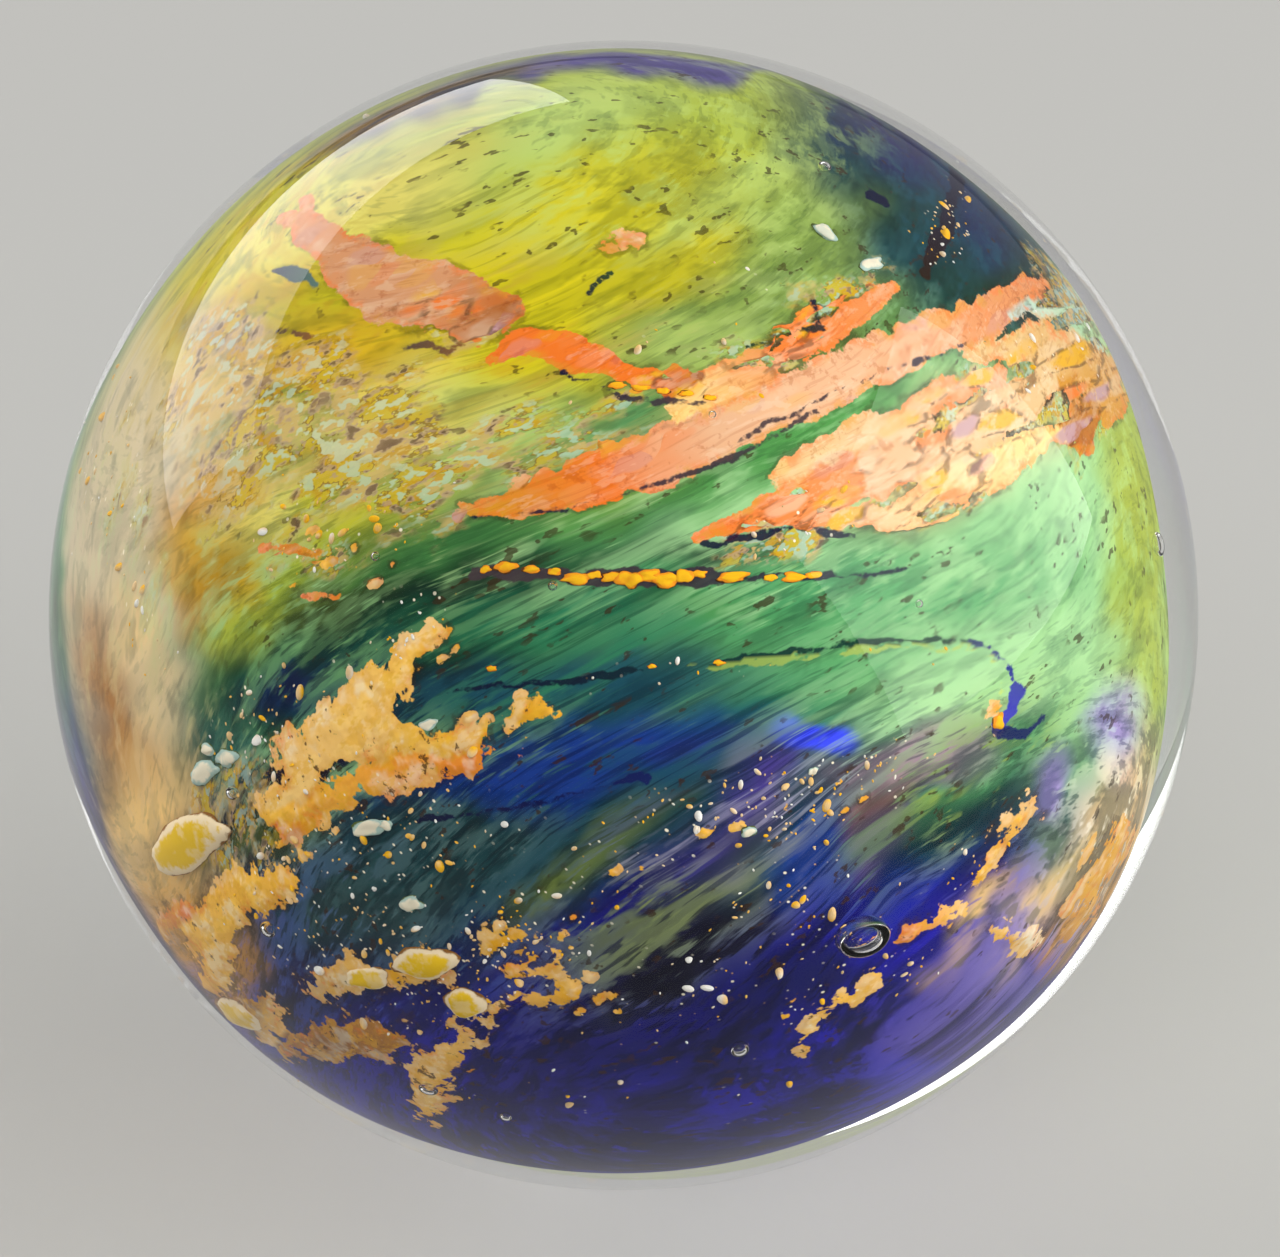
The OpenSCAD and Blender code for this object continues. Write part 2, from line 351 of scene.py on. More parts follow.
FRONT_DABS = [
    (0, 10, 105, 50, 5, LEAF, 0.4), (-40, 55, 62, 42, 15, LIME_YELLOW, 0.5),
    (5, 84, 62, 22, 5, LIME, 0.5), (28, 58, 30, 18, 20, SAGE, 0.6),
    (-6, 68, 28, 14, 20, LIME_YELLOW, 0.8, 0.8), (8, 60, 16, 5, 15, LIME_YELLOW, 0.9, 0.8),
    (36, 86, 14, 5, 25, PALE_LIME, 0.8), (-12, 85, 20, 6, 20, PALE_LIME, 0.8),
    (14, 47, 16, 6, 10, PALE_LIME, 0.8, 0.7), (20, 75, 16, 5, 30, PALE_LIME, 0.9, 0.6),
    (76, 8, 40, 36, 75, PALE_SAGE, 0.6), (91, 10, 40, 8, 90, LIME, 0.6),
    (24, 8, 50, 10, 5, SAGE_DEEP, 0.8), (22, 17, 20, 6, 15, PALE_SAGE, 0.8, 0.8),
    (-46, 72, 24, 7, 32, PALE_YELLOW, 0.9, 0.8), (14, 12, 18, 4, 10, DEEP_GREEN, 0.9, 0.8),
    (-10, 31, 24, 7, 5, SAGE_DEEP, 0.8), (-28, 30, 22, 7, 12, PALE_LIME, 0.8),
    (-36, 20, 24, 6, 15, PALE_LIME, 0.8, 0.8), (-24, 19, 12, 4, 15, PALE_SAGE, 0.9, 0.7),
    (60, 30, 26, 10, 28, PEACH, 0.8, 0.8), (-66, 34, 24, 16, 10, STRAW, 0.9, 0.9),
    (-50, 49, 14, 5.5, 12, HONEY, 0.7), (-61, 57, 10, 3.5, 18, HONEY, 0.8),
    (-42, 38, 10, 3, 10, STRAW, 0.9, 0.7), (-68, 48, 12, 6, -20, MAUVE, 0.9, 0.7),
    (-72, 30, 8, 4, 40, SAGE, 0.9, 0.8), (-60, 26, 10, 4, 30, SAGE, 0.9, 0.8),
    (-54, 37, 8, 3, 20, OLIVE, 0.9, 0.8), (-34, 40, 14, 5, -10, PALE_LIME, 0.9, 0.8),
    (-44, 30, 12, 4, 15, GOLDEN, 0.9, 0.8), (-46, 31, 26, 5, 12, PALE_YELLOW, 0.9, 0.8),
    (-50, 45, 20, 5, 10, HONEY, 0.9, 0.8), (-62, 18, 14, 5, 15, PALE_YELLOW, 0.9, 0.7),
    (-40, 40, 12, 3, 5, PALE_YELLOW, 0.9, 0.6), (-88, 36, 11, 34, 14, SAND, 0.9, 0.9),
    (-82, 10, 12, 26, 0, SAND, 0.7, 0.9), (-71, 11, 9, 17, 6, AMBER, 0.5), (-86, -10, 7, 14, 5, TAN, 0.7),
    (-93, 5, 6, 30, 0, SAND, 0.7), (-60, 5, 11, 9, 20, LIME, 0.9),
    (-69, -5, 5, 6, 0, PALE_LIME, 0.8, 0.8), (-48, 16, 28, 7, 12, LIME, 0.8, 0.8),
    (-30, 10, 26, 6, 15, LEAF, 0.8), (-36, 0, 38, 8, 12, DEEP_GREEN, 0.6),
    (-40, -10, 36, 10, 14, DEEP_GREEN, 0.6), (5, 0, 46, 6, 4, SEA, 0.7),
    (50, 2, 36, 6, 8, SAGE_DEEP, 0.8), (36, -10, 40, 7, 6, SAGE_DEEP, 0.8),
    (60, -13, 28, 9, 20, PALE_SAGE, 0.9), (-12, -15, 40, 8, 6, TEAL, 0.7), (24, -19, 22, 5, 10, SEA, 0.7),
    (-52, 1, 12, 3.5, 15, OLIVE_DARK, 0.9, 0.7), (-56, -12, 15, 6, 28, DARK_TEAL, 0.8, 0.9),
    (-52, -12, 16, 4, 20, NAVY, 0.7, 0.8), (0, -80, 120, 52, 6, COBALT, 0.25),
    (-30, -40, 52, 17, 26, DARK_TEAL, 0.6), (-12, -25, 36, 6, 10, DEEP_BLUE, 0.7),
    (5, -27, 26, 7, 12, DEEP_BLUE, 0.7), (20, -32, 24, 9, 25, VIOLET, 0.8),
    (34.5, -21.5, 7, 3.6, 5, BRIGHT_BLUE, 0.35), (14, -23, 10, 2.5, 10, BLUE_VIOLET, 0.9, 0.6),
    (-2, -40, 34, 9, 38, DARK_TEAL, 0.7), (18, -47, 30, 5, 44, OLIVE, 0.9, 0.45),
    (-12, -50, 26, 4, 45, OLIVE, 0.9, 0.5), (10, -60, 34, 10, 30, INK, 0.7),
    (26, -68, 26, 8, 30, INK, 0.8, 0.7), (33, -34, 20, 5, 44, TEAL, 0.8),
    (45, -32, 16, 4, 46, AMBER_BROWN, 0.9, 0.5), (-40, -56, 30, 7, 34, DARK_TEAL, 0.8),
    (-36, -74, 30, 12, 25, COBALT, 0.7), (5, -92, 50, 8, 5, INK, 0.9, 0.4),
    (32, -42, 10, 7, 40, DEEP_BLUE, 0.6), (47, -52, 12, 9, 25, COBALT_BRIGHT, 0.5),
    (58, -34, 22, 9, 50, DARK_TEAL, 0.6), (63, -27, 18, 4, 42, SAGE_DEEP, 0.8),
    (50, -24, 16, 4.5, 26, MAUVE, 0.8), (52, -68, 30, 6, 45, INK, 0.7, 0.6),
    (62, -66, 24, 8, 48, VIOLET, 0.7, 0.6), (61, -53, 12, 3, 45, TAN, 0.9, 0.8),
    (74, -30, 6, 3.5, 60, LAVENDER, 0.6), (71, -52, 15, 5, 55, LAVENDER, 0.8, 0.8),
    (76, -46, 18, 4, 58, PEACH, 0.7), (86, -36, 18, 5, 66, PEACH, 0.6),
    (80, -53, 12, 3.5, 60, AMBER, 0.6), (50, -81, 7, 4, 30, BLUE_VIOLET, 0.6),
    (86, -20, 5, 9, 0, LAVENDER, 0.9), (57, 74, 36, 23, -38, DARK_TEAL, 0.35),
    (48, 82, 14, 6, -30, NAVY, 0.7), (66, 58, 14, 5, 10, DEEP_GREEN, 0.7),
    (62, 70, 10, 5, -50, NAVY, 0.8, 0.7), (45, 70, 8, 5, -30, DEEP_GREEN, 0.8, 0.7),
    (83, 52, 12, 7, -60, AQUA, 0.7), (30, 66, 12, 9, 30, SAGE, 0.9),
    (-40, 89.5, 26, 3.5, 24, CHARCOAL, 0.6), (0, 97.5, 32, 3.5, 2, VIOLET, 0.5),
    (-24, 95, 16, 2.2, 15, INK, 0.7), (-88, -24, 6, 26, 12, AMBER_BROWN, 0.6),
    (-80, -40, 10, 20, 20, TAN, 0.7), (-62, -36, 12, 8, 20, OLIVE_DARK, 0.7),
    (-74, -58, 10, 14, 30, AMBER, 0.7), (-56, -27, 30, 5, 30, INK, 0.8), (-50, -62, 22, 5, 25, NAVY, 0.7),
    (-72.5, 7, 7, 13, 5, GOLDEN, 0.6, 0.7), (-67, -3, 6, 7, 10, LIME, 0.8, 0.9),
    (16, 2, 13, 4, 5, LEAF, 0.9, 0.7), (-39, -54, 12, 5, 30, GREY_TEAL, 0.9, 0.5),
    (-50, -50, 10, 5, 30, GREY_TEAL, 0.9, 0.4), (59, -26, 9, 4, 25, MAUVE, 0.9, 0.6),
    (73, -40, 6, 5, 50, SAGE, 0.9, 0.5), (44, -40, 9, 4, 45, MAUVE, 0.9, 0.4),
    (-38, 71, 12, 6, 20, PALE_YELLOW, 0.9, 0.7), (-48, 44, 16, 5, 8, GOLD, 0.9, 0.5),
    (-38, 44, 10, 4, 8, PALE_YELLOW, 0.9, 0.5), (-52, 16, 12, 4, 12, LIME_YELLOW, 0.9, 0.6),
    (-66, 17, 10, 4, 12, PALE_YELLOW, 0.9, 0.6), (-83, -12, 6, 12, 5, SAND, 0.9, 0.7),
    (-24, -12, 30, 4, 6, TEAL, 0.9, 0.5)]

DARKEST = 0.007
BACK_STARTS = 1.12
front_ground = ground.copy()
for spot in FRONT_DABS:
    dab(front_ground, *spot)
from_middle = np.linalg.norm(seen, axis=1) + 0.02 * ripples(directions, 0.9, 31)
SIDE_BLEND = smooth(from_middle, RIM_PLACE, BACK_STARTS)
ground = np.maximum(mix_paint(front_ground, ground, SIDE_BLEND[:, None]), DARKEST)
print("ground laid in", len(FRONT_DABS), "dabs")

# %% [markdown]
# ## The threads' colour
# Each glass is streaked with threads of another: gold in the lime, pale green in the leaf green, teal and
# olive in the blue. The threads' colour is laid in a few very soft dabs, over a brighter copy of the ground.

# %% Thread colours
THREAD_GAIN = 1.7
THREAD_MOST = 0.9
THREAD_DABS = [
    (0, 10, 110, 60, 0, PALE_SAGE, 0.5), (-40, 55, 62, 42, 10, GOLDEN, 0.6),
    (-30, 26, 40, 8, 10, AMBER, 0.8, 0.7), (15, 80, 60, 20, 10, PALE_LIME, 0.6),
    (60, 70, 30, 20, -38, TEAL, 0.6), (-60, 33, 24, 12, 0, PEACH, 0.8),
    (-45, -8, 45, 12, 10, LEAF, 0.8, 0.6), (-24, -13, 40, 6, 6, GREY_TEAL, 0.8),
    (0, -10, 50, 12, 5, SEA, 0.8), (0, -80, 120, 50, 6, COBALT_BRIGHT, 0.3),
    (-20, -42, 50, 20, 25, GREY_TEAL, 0.7), (0, -26, 34, 7, 10, TEAL, 0.8),
    (10, -50, 36, 12, 40, OLIVE, 0.8, 0.8), (-10, -40, 30, 6, 36, TEAL, 0.8, 0.8),
    (46, -36, 16, 8, 50, GREY_TEAL, 0.8), (20, -34, 26, 8, 25, LAVENDER, 0.8, 0.6),
    (60, -30, 25, 12, 45, SAGE, 0.8), (65, -60, 25, 12, 48, LAVENDER, 0.8, 0.5),
    (84, -40, 16, 10, 60, CREAM, 0.8), (-82, -32, 14, 34, 14, PEACH, 0.8),
    (22, -68, 34, 9, 24, NAVY, 0.8), (0, -74, 40, 8, 10, COBALT, 0.9, 0.8)]

threads = np.minimum(front_ground * THREAD_GAIN, THREAD_MOST)
for spot in THREAD_DABS:
    dab(threads, *spot)
side_threads = np.minimum(ground * THREAD_GAIN, THREAD_MOST)
threads = mix_paint(threads, side_threads, SIDE_BLEND[:, None])

# %% [markdown]
# ## Ribbons and crusts
# On the ground lie the opaque colours, with crisp edges: the orange stringers and the gold crusts. Each
# stroke is a line of points, every one with its half-width, in thousandths of the ball's radius, and two
# paints that it runs between. Its cover is stored as a slope through the edge, not as a hard mask, so
# that the glass made later can roughen that edge far more finely than the mesh could. Last come the
# flakes, crumbs that broke off the crusts, each with its place, its length and its half-width.

# %% Strokes
EDGE_SLOPE = 0.05
CRUST_SLOPE = 0.085
FLAKE_SLOPE = 0.03
VEIN_SLOPE = 0.036


def stroke(layer, places, line, first, last, crust=0.0, slope=EDGE_SLOPE):
    """Lays one ribbon into a layer, which holds the cover, crust and colour of each point."""
    line = np.array(line) / 1000
    nearest = np.full(len(places), 9.0)
    share = np.zeros(len(places))
    pieces = max(len(line) - 1, 1)
    for i in range(pieces):
        (x0, y0, w0), (x1, y1, w1) = line[i], line[min(i + 1, len(line) - 1)]
        step = np.array([x1 - x0, y1 - y0])
        along = np.clip(((places - (x0, y0)) @ step) / max(step @ step, 1e-9), 0, 1)
        gap = np.hypot(places[:, 0] - x0 - along * step[0], places[:, 1] - y0 - along * step[1])
        gap -= w0 + along * (w1 - w0)
        closer = gap < nearest
        nearest = np.where(closer, gap, nearest)
        share = np.where(closer, (i + along) / pieces, share)
    cover = np.clip(0.5 - nearest / slope, 0, 1)
    on_top = cover > layer["cover"]
    colour = mix_paint(first, last, share[:, None])
    layer["colour"] = np.where(on_top[:, None], colour, layer["colour"])
    layer["crust"] = np.where(on_top, crust, layer["crust"])
    layer["cover"] = np.maximum(layer["cover"], cover)


def empty_layer():
    points = len(directions)
    return {"cover": np.zeros(points), "crust": np.zeros(points), "colour": np.tile(ORANGE, (points, 1))}


RIBBONS = [
    ([(-560, 720, 14), (-530, 660, 35), (-470, 610, 50)], SALMON, FLESH),
    ([(-600, 690, 8), (-550, 675, 18)], SALMON, SALMON),
    ([(-480, 610, 52), (-410, 570, 62), (-340, 555, 62)], FLESH, FLESH),
    ([(-350, 552, 60), (-280, 528, 58), (-210, 535, 36)], FLESH, RUST),
    ([(-225, 450, 12), (-170, 470, 30), (-100, 465, 40), (-40, 440, 30), (30, 410, 12)], ORANGE, ORANGE),
    ([(20, 420, 12), (100, 405, 18), (160, 400, 12)], ORANGE, BROWN),
    ([(-270, 185, 10), (-200, 195, 25), (-120, 215, 38), (-20, 245, 45)], AMBER, ORANGE),
    ([(-40, 240, 45), (60, 275, 45), (160, 315, 50)], ORANGE, PINK),
    ([(140, 310, 45), (260, 360, 45), (400, 425, 42)], PINK, PINK),
    ([(380, 420, 38), (500, 470, 40), (620, 520, 35), (730, 570, 12)], PINK, SALMON),
    ([(100, 360, 20), (180, 400, 35), (260, 440, 35)], TAN, SALMON),
    ([(240, 430, 30), (320, 480, 38), (400, 520, 32), (470, 560, 12)], ORANGE, SALMON),
    ([(140, 130, 8), (210, 165, 20), (300, 200, 32), (400, 250, 40)], ORANGE, SALMON),
    ([(280, 240, 20), (400, 300, 35), (520, 350, 40), (640, 410, 25)], PEACH, PINK),
    ([(400, 240, 30), (540, 290, 45), (660, 350, 45), (760, 420, 25)], PINK, PEACH),
    ([(380, 170, 12), (460, 180, 30), (560, 215, 38), (660, 270, 38), (740, 330, 20)], PINK, TAN),
    ([(620, 460, 15), (720, 480, 35), (810, 430, 45), (850, 360, 30)], PEACH, AMBER),
    ([(760, 420, 20), (800, 360, 32), (800, 300, 14)], AMBER, RUST),
    ([(680, 535, 8), (760, 540, 16), (850, 480, 14)], AQUA, PALE_SAGE),
    ([(-640, 115, 6), (-580, 120, 12), (-530, 120, 5)], ORANGE, AMBER),
    ([(-560, 30, 5), (-500, 40, 7)], ORANGE, AMBER)]

CRUSTS = [
    ([(-330, -30, 10), (-375, -70, 22), (-410, -125, 42), (-500, -215, 58), (-600, -310, 45)],
      CRUST, TAN),
    ([(-460, -200, 50), (-360, -220, 45), (-260, -220, 20)], TAN, GOLD),
    ([(-610, -350, 20), (-520, -310, 30), (-400, -270, 30), (-300, -260, 22), (-200, -235, 10)],
      CRUST, ORANGE),
    ([(-590, -375, 15), (-530, -355, 10)], ORANGE, GOLD),
    ([(-190, -175, 12), (-140, -160, 14), (-130, -180, 8)], GOLD, CRUST),
    ([(-720, -620, 26), (-715, -540, 42), (-660, -480, 37), (-580, -460, 14)], CRUST, CRUST),
    ([(-800, -550, 15), (-740, -520, 25)], AMBER, ORANGE),
    ([(-540, -640, 20), (-480, -620, 22), (-420, -630, 15)], PEACH, TAN),
    ([(-400, -620, 15), (-350, -605, 28), (-320, -610, 15)], GOLD, PEACH),
    ([(-640, -680, 20), (-600, -710, 20)], BROWN, TAN),
    ([(-580, -740, 20), (-500, -735, 35), (-410, -730, 30)], BROWN, AMBER_BROWN),
    ([(-350, -860, 15), (-330, -800, 30), (-290, -760, 20), (-260, -720, 12)], CRUST, TAN),
    ([(-310, -720, 10), (-290, -670, 18)], PEACH, CRUST),
    ([(-220, -570, 12), (-160, -560, 12), (-120, -540, 10)], GOLD, PEACH),
    ([(-220, -700, 15), (-160, -665, 20), (-100, -660, 14)], TAN, GOLD),
    ([(-190, -620, 12), (-130, -600, 8)], GOLD, TAN),
    ([(490, -565, 12), (540, -540, 22), (590, -520, 15)], ORANGE, TAN),
    ([(300, -740, 3), (360, -690, 9), (420, -640, 5)], TAN, CRUST),
    ([(620, -460, 4), (660, -400, 10), (720, -330, 8)], GOLD, PEACH),
    ([(770, -560, 10), (810, -490, 16), (860, -360, 8)], AMBER, GOLD),
    ([(660, -570, 12), (700, -540, 16)], GOLD, CREAM),
    ([(648, -185, 8), (655, -180, 8)], PEACH, GOLD),
    ([(-50, 640, 6), (0, 655, 12), (30, 660, 6)], AMBER, PINK)]

FLAKES = [
    (-310, -30, 10, 6), (-340, -45, 12, 6), (-370, -40, 8, 5), (-290, -55, 8, 5), (-360, -70, 14, 8),
    (-400, -60, 8, 6), (-320, -75, 8, 5), (-240, -185, 12, 6), (-200, -200, 10, 5), (-270, -180, 8, 5),
    (-210, -225, 10, 5), (-170, -215, 6, 4), (-150, -150, 10, 6), (-180, -165, 10, 6), (-115, -175, 6, 5),
    (-600, -400, 14, 7), (-560, -420, 10, 6), (-530, -370, 12, 6), (-550, -340, 8, 5), (-500, -375, 6, 4),
    (-190, -565, 14, 7), (-150, -540, 12, 6), (-110, -560, 10, 6), (-210, -585, 10, 6),
    (-160, -600, 12, 6), (-120, -590, 8, 5), (-90, -530, 8, 5), (-220, -545, 8, 5), (-50, -670, 12, 8),
    (-20, -665, 10, 5), (-80, -690, 10, 6), (-10, -690, 6, 5), (-60, -630, 8, 5), (-250, -745, 10, 6),
    (-270, -790, 8, 6), (140, -380, 16, 7), (190, -370, 10, 6), (-20, -450, 12, 6), (30, -440, 8, 4),
    (370, -290, 8, 6), (410, -320, 10, 6), (380, -340, 8, 5), (330, -360, 10, 6), (280, -330, 6, 5),
    (620, -450, 8, 5), (640, -420, 10, 5), (690, -355, 10, 6), (310, -760, 10, 6), (280, -700, 8, 5),
    (290, -670, 6, 4), (-520, 90, 14, 6), (-620, 85, 12, 6), (-440, 55, 12, 5), (-470, 120, 10, 5),
    (-580, 50, 10, 5), (-400, 90, 8, 4), (-550, 145, 12, 5)]

cover_layer = empty_layer()
stroke_places = wobble(wobble(seen, 0.010, 0.16, 41), 0.005, 0.05, 43)
for line, first, last in RIBBONS:
    stroke(cover_layer, stroke_places, line, first, last)
for line, first, last in CRUSTS:
    stroke(cover_layer, stroke_places, line, first, last, crust=1.0, slope=CRUST_SLOPE)
for x, y, length, half_width in FLAKES:
    line = [(x, y, half_width), (x + length, y + length * 0.5, half_width * 0.6)]
    stroke(cover_layer, seen, line, CRUST, AMBER, crust=1.0, slope=FLAKE_SLOPE)
print("strokes laid", len(RIBBONS), "ribbons,", len(CRUSTS), "crusts,", len(FLAKES), "flakes")

# %% [markdown]
# ## Veins
# Where two glasses meet, a fine dark line of trapped metal runs between them. Veins are strokes too, only
# thin and dark: one long line under the green, its hook at the right, and the short threads round the
# ribbons.

# %% Veins
VEINS = [
    ([(-330, -130, 2), (-100, -115, 4), (30, -95, 5), (170, -80, 2), (440, -45, 2), (610, -42, 2)],
      INK, DEEP_GREEN),
    ([(610, -42, 4), (665, -75, 5), (685, -120, 8), (680, -165, 10), (655, -195, 6)], NAVY, BLUE_VIOLET),
    ([(100, -92, 2), (300, -75, 2), (460, -57, 2), (600, -55, 2), (650, -85, 2), (665, -140, 2)],
      SAGE, PALE_LIME),
    ([(655, -205, 4), (700, -205, 7), (740, -175, 3)], NAVY, NAVY),
    ([(-260, 75, 7), (-50, 68, 12), (120, 66, 15), (240, 66, 6), (360, 68, 6), (500, 80, 0)],
      CHARCOAL, INK),
    ([(-260, 170, 5), (-100, 185, 2), (50, 225, 1), (200, 280, 2), (340, 355, 1)], INK, CHARCOAL),
    ([(140, 370, 3), (20, 375, 1), (-100, 420, 1)], CHARCOAL, INK),
    ([(200, 305, 1), (400, 405, 1), (600, 475, 1)], CHARCOAL, INK),
    ([(150, 120, 3), (300, 155, 1), (400, 140, 3)], INK, INK),
    ([(220, 470, 3), (340, 500, 4), (330, 540, 6)], DEEP_GREEN, INK),
    ([(-65, 555, 4), (-50, 575, 7), (-20, 600, 3)], INK, DEEP_GREEN),
    ([(-390, 462, 3), (-345, 475, 9), (-310, 462, 4), (-280, 475, 3)], CHARCOAL, BROWN),
    ([(-610, 600, 4), (-575, 597, 12), (-540, 575, 6)], NAVY, GREY_TEAL),
    ([(-605, 490, 3), (-570, 497, 8), (-545, 487, 3)], CHARCOAL, BROWN),
    ([(-360, -360, 3), (-160, -330, 3), (40, -280, 3)], INK, NAVY),
    ([(430, 740, 10), (460, 725, 8)], INK, INK),
    ([(585, 780, 8), (575, 720, 15), (550, 650, 14), (530, 600, 10)], INK, BROWN * 0.1)]

vein_layer = empty_layer()
vein_places = wobble(seen, 0.004, 0.07, 51)
for line, first, last in VEINS:
    stroke(vein_layer, vein_places, line, first, last, slope=VEIN_SLOPE)

# %% [markdown]
# ## Lace, seeds and flecks
# Soft maps say how much of a fine texture each place takes: lace, the web of pale cells that crushed
# glass melts into, and seeds, the pinpricks of gold and air. A spot has its place, half-length and
# half-height in hundredths of the ball's radius, its turn and its strength. Dark flecks are caught all
# over the front, but hardly any in the sand at the left or in the melted lace.

# %% Soft maps
SIDE_TEXTURE = 0.25


def soft_map(spots):
    """Lays soft spots over each other and keeps the strongest at each place."""
    total = np.zeros(len(directions))
    for *ellipse, strength in spots:
        spot = np.zeros((len(directions), 1))
        dab(spot, *ellipse, np.ones(1), 0.9, strength)
        total = np.maximum(total, spot[:, 0])
    return total * (1 - SIDE_BLEND) + SIDE_TEXTURE * SIDE_BLEND


LACE = soft_map([
    (-55, 33, 32, 17, 10, 1.0), (-38, 24, 32, 9, 10, 0.9), (-66, 47, 14, 12, 0, 0.8),
    (62, 32, 24, 11, 28, 1.0), (80, 42, 12, 14, 0, 1.0), (-80, 20, 12, 30, 0, 0.4),
    (28, 15, 14, 6, 15, 0.9), (-66, -35, 14, 16, 20, 0.7), (78, 55, 14, 6, -50, 1.0),
    (-12, 34, 24, 6, 5, 0.7), (30, 50, 22, 6, 30, 0.9), (-40, 12, 30, 6, 12, 0.6),
    (10, 38, 10, 3, -5, 0.9), (-30, 50, 14, 5, -10, 0.7), (50, 18, 14, 5, 20, 0.9)])
SEEDS = soft_map([
    (22, -34, 28, 9, 8, 1.0), (24, -46, 16, 7, 20, 0.8), (-10, -54, 16, 8, 20, 0.8),
    (44, -27, 10, 6, 30, 1.0), (0, -42, 30, 10, 35, 0.7), (-50, 14, 30, 10, 10, 0.7),
    (-42, -42, 30, 16, 25, 0.8), (-20, -58, 22, 12, 30, 1.0), (-44, -54, 20, 8, 20, 0.8),
    (-62, -20, 14, 10, 30, 0.9), (-40, -2, 14, 6, 40, 0.8), (10, -38, 12, 5, 20, 1.0),
    (34, -32, 8, 5, 30, 1.0), (48, -60, 10, 4, 45, 0.8), (20, 50, 40, 20, 20, 0.3),
    (60, -44, 12, 5, 50, 0.7), (34, -68, 12, 4, 45, 0.9), (-55, -28, 20, 14, 25, 0.6),
    (15, -62, 34, 12, 25, 0.6), (56, 67, 5, 10, -15, 1.0), (30, 16, 14, 6, 15, 0.8),
    (-30, -66, 24, 8, 25, 0.7), (10, -10, 60, 4, 5, 0.4), (-36, -3, 8, 4, 45, 1.0),
    (75, 47, 16, 10, 30, 0.5), (0, -82, 50, 10, 5, 0.35), (-56, -40, 10, 4, 40, 1.0),
    (40, -58, 16, 5, 40, 0.7), (-86, 15, 8, 40, 10, 0.6)])
in_the_sand = smooth(-seen_right - 0.2 * seen_up, 0.60, 0.78)
FLECKS = 0.75 * (1 - 0.5 * LACE) * (1 - 0.9 * in_the_sand)

# %% [markdown]
# ## The way the streaks run
# Dragging the hot core draws every speck of colour out into a streak. Each drag has a place, in hundredths
# of the ball's radius, and an angle in degrees, and between them the angle runs over smoothly. A fine
# pattern can follow them if each point knows its place along and across the drag. Those places are found
# by least squares: on every edge of the mesh the place should change as the edge runs with or against the
# drag, and conjugate gradients settle them.

# %% Flow
DRAGS = [
    (-45, 66, 8), (-10, 60, 22), (-30, 85, 24), (10, 80, 24), (35, 80, 30), (60, 70, 20), (-60, 35, 22),
    (-85, 40, 62), (-93, 0, 90), (-30, 25, 14), (-60, 10, 12), (10, 30, 22), (45, 45, 27), (55, 28, 26),
    (86, 38, 60), (10, 6, 3), (-30, 3, 4), (42, 10, 4), (60, 0, 4), (94, 5, 80), (-40, -8, 12),
    (10, -10, 3), (35, -10, 4), (55, -16, 16), (5, -27, 12), (-60, -28, 32), (-30, -42, 36),
    (10, -42, 47), (-5, -52, 47), (22, -55, 47), (40, -36, 50), (66, -35, 52), (85, -38, 66),
    (60, -66, 46), (30, -68, 44), (0, -65, 30), (-40, -68, 28), (0, -90, 4), (-86, -30, 108),
    (-74, -56, 70)]
NEARNESS = 0.012
SETTLE_STEPS = 420


def drag_angle(places):
    """The drag's angle at each place, in radians."""
    total = np.zeros(len(places))
    weights = np.zeros(len(places))
    for x, y, angle in DRAGS:
        gap = (places[:, 0] - x / 100) ** 2 + (places[:, 1] - y / 100) ** 2
        weight = 1 / (NEARNESS + gap) ** 2
        total += weight * angle
        weights += weight
    return np.radians(total / weights)


def settle(directions, pairs, ways):
    """One place for each point, in millimetres, that grows along the given ways."""
    first, last = pairs.T
    points = len(directions)
    size = CORE_RADIUS * 1000
    steps = (directions[last] - directions[first]) * size
    wanted = np.sum(steps * (ways[first] + ways[last]), axis=1) / 2

    def gather(change):
        return np.bincount(last, change, points) - np.bincount(first, change, points)

    value = np.sum(directions * ways, axis=1) * size
    rest = gather(wanted - (value[last] - value[first]))
    search = rest.copy()
    strength = rest @ rest
    for _ in range(SETTLE_STEPS):
        answer = gather(search[last] - search[first])
        share = strength / (search @ answer)
        value += share * search
        rest -= share * answer
        new_strength = rest @ rest
        search = rest + search * (new_strength / strength)
        strength = new_strength
    return value


def streak_places(directions, faces, angle):
    """Places along the drag, across it and towards the viewer."""
    corners = np.array(faces)
    pairs = np.vstack([corners[:, [i, (i + 1) % 4]] for i in range(4)])
    pairs = np.unique(np.sort(pairs, axis=1), axis=0)
    turn_cos, turn_sin = np.cos(angle)[:, None], np.sin(angle)[:, None]
    along = settle(directions, pairs, turn_cos * VIEW_RIGHT + turn_sin * VIEW_UP)
    across = settle(directions, pairs, turn_cos * VIEW_UP - turn_sin * VIEW_RIGHT)
    return np.stack([along, across, directions @ TOWARDS_VIEWER * CORE_RADIUS * 1000], axis=1)


flow = streak_places(directions, core_faces, drag_angle(seen))
middle_height = smooth(seen_up, -0.24, -0.06)
DRAG_STRENGTH = 1 - 0.6 * smooth(seen_up + 0.1 * seen_right, 0.02, 0.42)
DRAG_STRENGTH *= 1 - 0.7 * smooth(-seen_right, 0.62, 0.80) * (1 - SIDE_BLEND)
DRAG_STRENGTH *= 1 - 0.45 * smooth(seen_right, 0.20, 0.60) * middle_height
DRAG_STRENGTH *= 1 - 0.3 * middle_height * smooth(-seen_up, -0.36, -0.20)
print("flow runs over", np.ptp(flow, axis=0).round(1), "mm")

# %% [markdown]
# The ribbons were laid on after the drag, all at nearly one angle, so their crumbs line up with that angle
# and not with the streaks below. They need no settling: places turned by the angle will do.

# %% The way the ribbons run
RIBBON_TURN = 27


